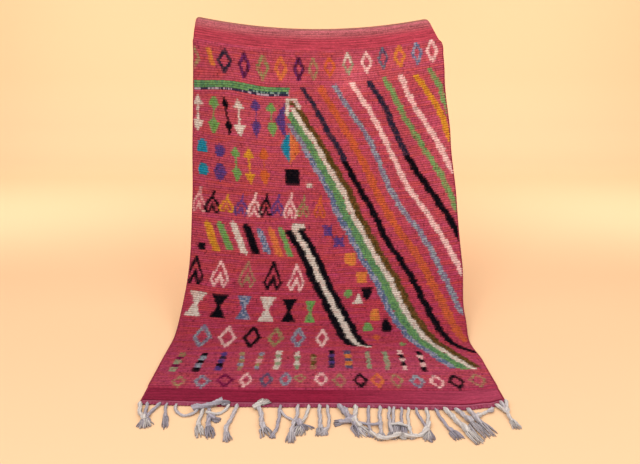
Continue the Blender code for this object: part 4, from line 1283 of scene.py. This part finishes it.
def cotton_material():
    """Undyed plied cotton: fine fibres that run mostly forward, as the bundles lie, and dull."""
    material, tree, shader = new_material("cotton warp")
    yarn = add_node(tree, "ShaderNodeAttribute", attribute_name="yarn").outputs["Color"]
    place = add_node(tree, "ShaderNodeTexCoord").outputs["Object"]
    # Fibres are finer than can show, so they are drawn about 1.5 mm across and drawn out towards -Y
    fibres = spun_fibres(tree, place, (650.0, 160.0, 650.0))
    colour = mottled(tree, yarn, fibres, 0.80, 1.12)
    finish_shader(tree, shader, colour, fibres, strength=0.6, depth=0.001, roughness=0.85, sheen=0.2)
    return material


# The stage

FLOOR_COLOUR = "#ffd7ad"
FLOOR_WIDTH = 24.0
FLOOR_STEPS = 24
# How far the level floor reaches each way from the middle of the rug's box
FLOOR_FORWARD = 6.0
FLOOR_BACK = 4.4
BEND_RADIUS = 1.2
WALL_HEIGHT = 4.0


def make_stage():
    """A plain pale floor that bends up into a wall, far enough back for a view of the rug's back."""
    mesh, column, row, _ = grid_mesh("floor", 1, FLOOR_STEPS)
    level = FLOOR_FORWARD + FLOOR_BACK
    arc = BEND_RADIUS * math.pi / 2
    way = row / FLOOR_STEPS * (level + arc + WALL_HEIGHT)
    angle = np.clip((way - level) / BEND_RADIUS, 0, math.pi / 2)
    back = np.minimum(way, level) - FLOOR_FORWARD + BEND_RADIUS * np.sin(angle)
    height = BEND_RADIUS * (1 - np.cos(angle)) + np.maximum(way - level - arc, 0)
    places = np.stack([(column - 0.5) * FLOOR_WIDTH, back, height], axis=-1)
    mesh.vertices.foreach_set("co", places.ravel())
    material, tree, shader = new_material("pale floor")
    shader.inputs["Base Color"].default_value = (*linear(FLOOR_COLOUR), 1.0)
    shader.inputs["Roughness"].default_value = 1.0
    shader.inputs["Specular IOR Level"].default_value = 0.0
    mesh.materials.append(material)
    mesh.shade_smooth()
    floor = bpy.data.objects.new("floor", mesh)
    bpy.context.scene.collection.objects.link(floor)


Lamp = namedtuple("Lamp", "name place aim size power")
LAMPS = (
    Lamp("key", (-1.6, -3.2, 3.6), (0.0, 0.2, 0.7), 2.4, 70.0),
    Lamp("fill", (2.4, -3.0, 2.6), (0.0, 0.2, 0.6), 2.4, 40.0),
    Lamp("left backdrop", (-3.0, 1.9, 2.6), (-3.4, 5.6, 0.9), 2.0, 46.0),
    Lamp("right backdrop", (3.0, 1.9, 2.6), (3.4, 5.6, 0.9), 2.0, 46.0),
    Lamp("middle backdrop", (0.0, 2.0, 3.2), (0.0, 3.6, 0.0), 2.4, 18.0),
)
WORLD_LIGHT = ("#fff6ec", 0.75)


def light_stage():
    for lamp in LAMPS:
        light = bpy.data.lights.new(lamp.name, "AREA")
        light.size = lamp.size
        light.energy = lamp.power
        holder = bpy.data.objects.new(lamp.name, light)
        holder.location = lamp.place
        way = Vector(lamp.aim) - Vector(lamp.place)
        holder.rotation_euler = way.to_track_quat("-Z", "Y").to_euler()
        bpy.context.scene.collection.objects.link(holder)
    world = bpy.data.worlds.new("studio")
    world.use_nodes = True
    background = world.node_tree.nodes["Background"]
    background.inputs["Color"].default_value = (*linear(WORLD_LIGHT[0]), 1.0)
    background.inputs["Strength"].default_value = WORLD_LIGHT[1]
    bpy.context.scene.world = world
    bpy.context.scene.view_settings.view_transform = "Standard"


def main():
    place_camera()
    colours = knot_colours()
    pile = pile_material()
    bands = [make_pile_band(number, colours, pile) for number in range(PILE_BANDS)]
    flat_woven = cloth_material()
    cloth = make_cloth(colours, flat_woven)
    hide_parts("rug")
    side_edges = [make_side_edge(side, flat_woven) for side in (-1, 1)]
    cotton = cotton_material()
    fringe = make_fringe(cotton)
    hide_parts("fringe")
    twined = make_twined_edge(cotton)
    make_stage()
    light_stage()


main()
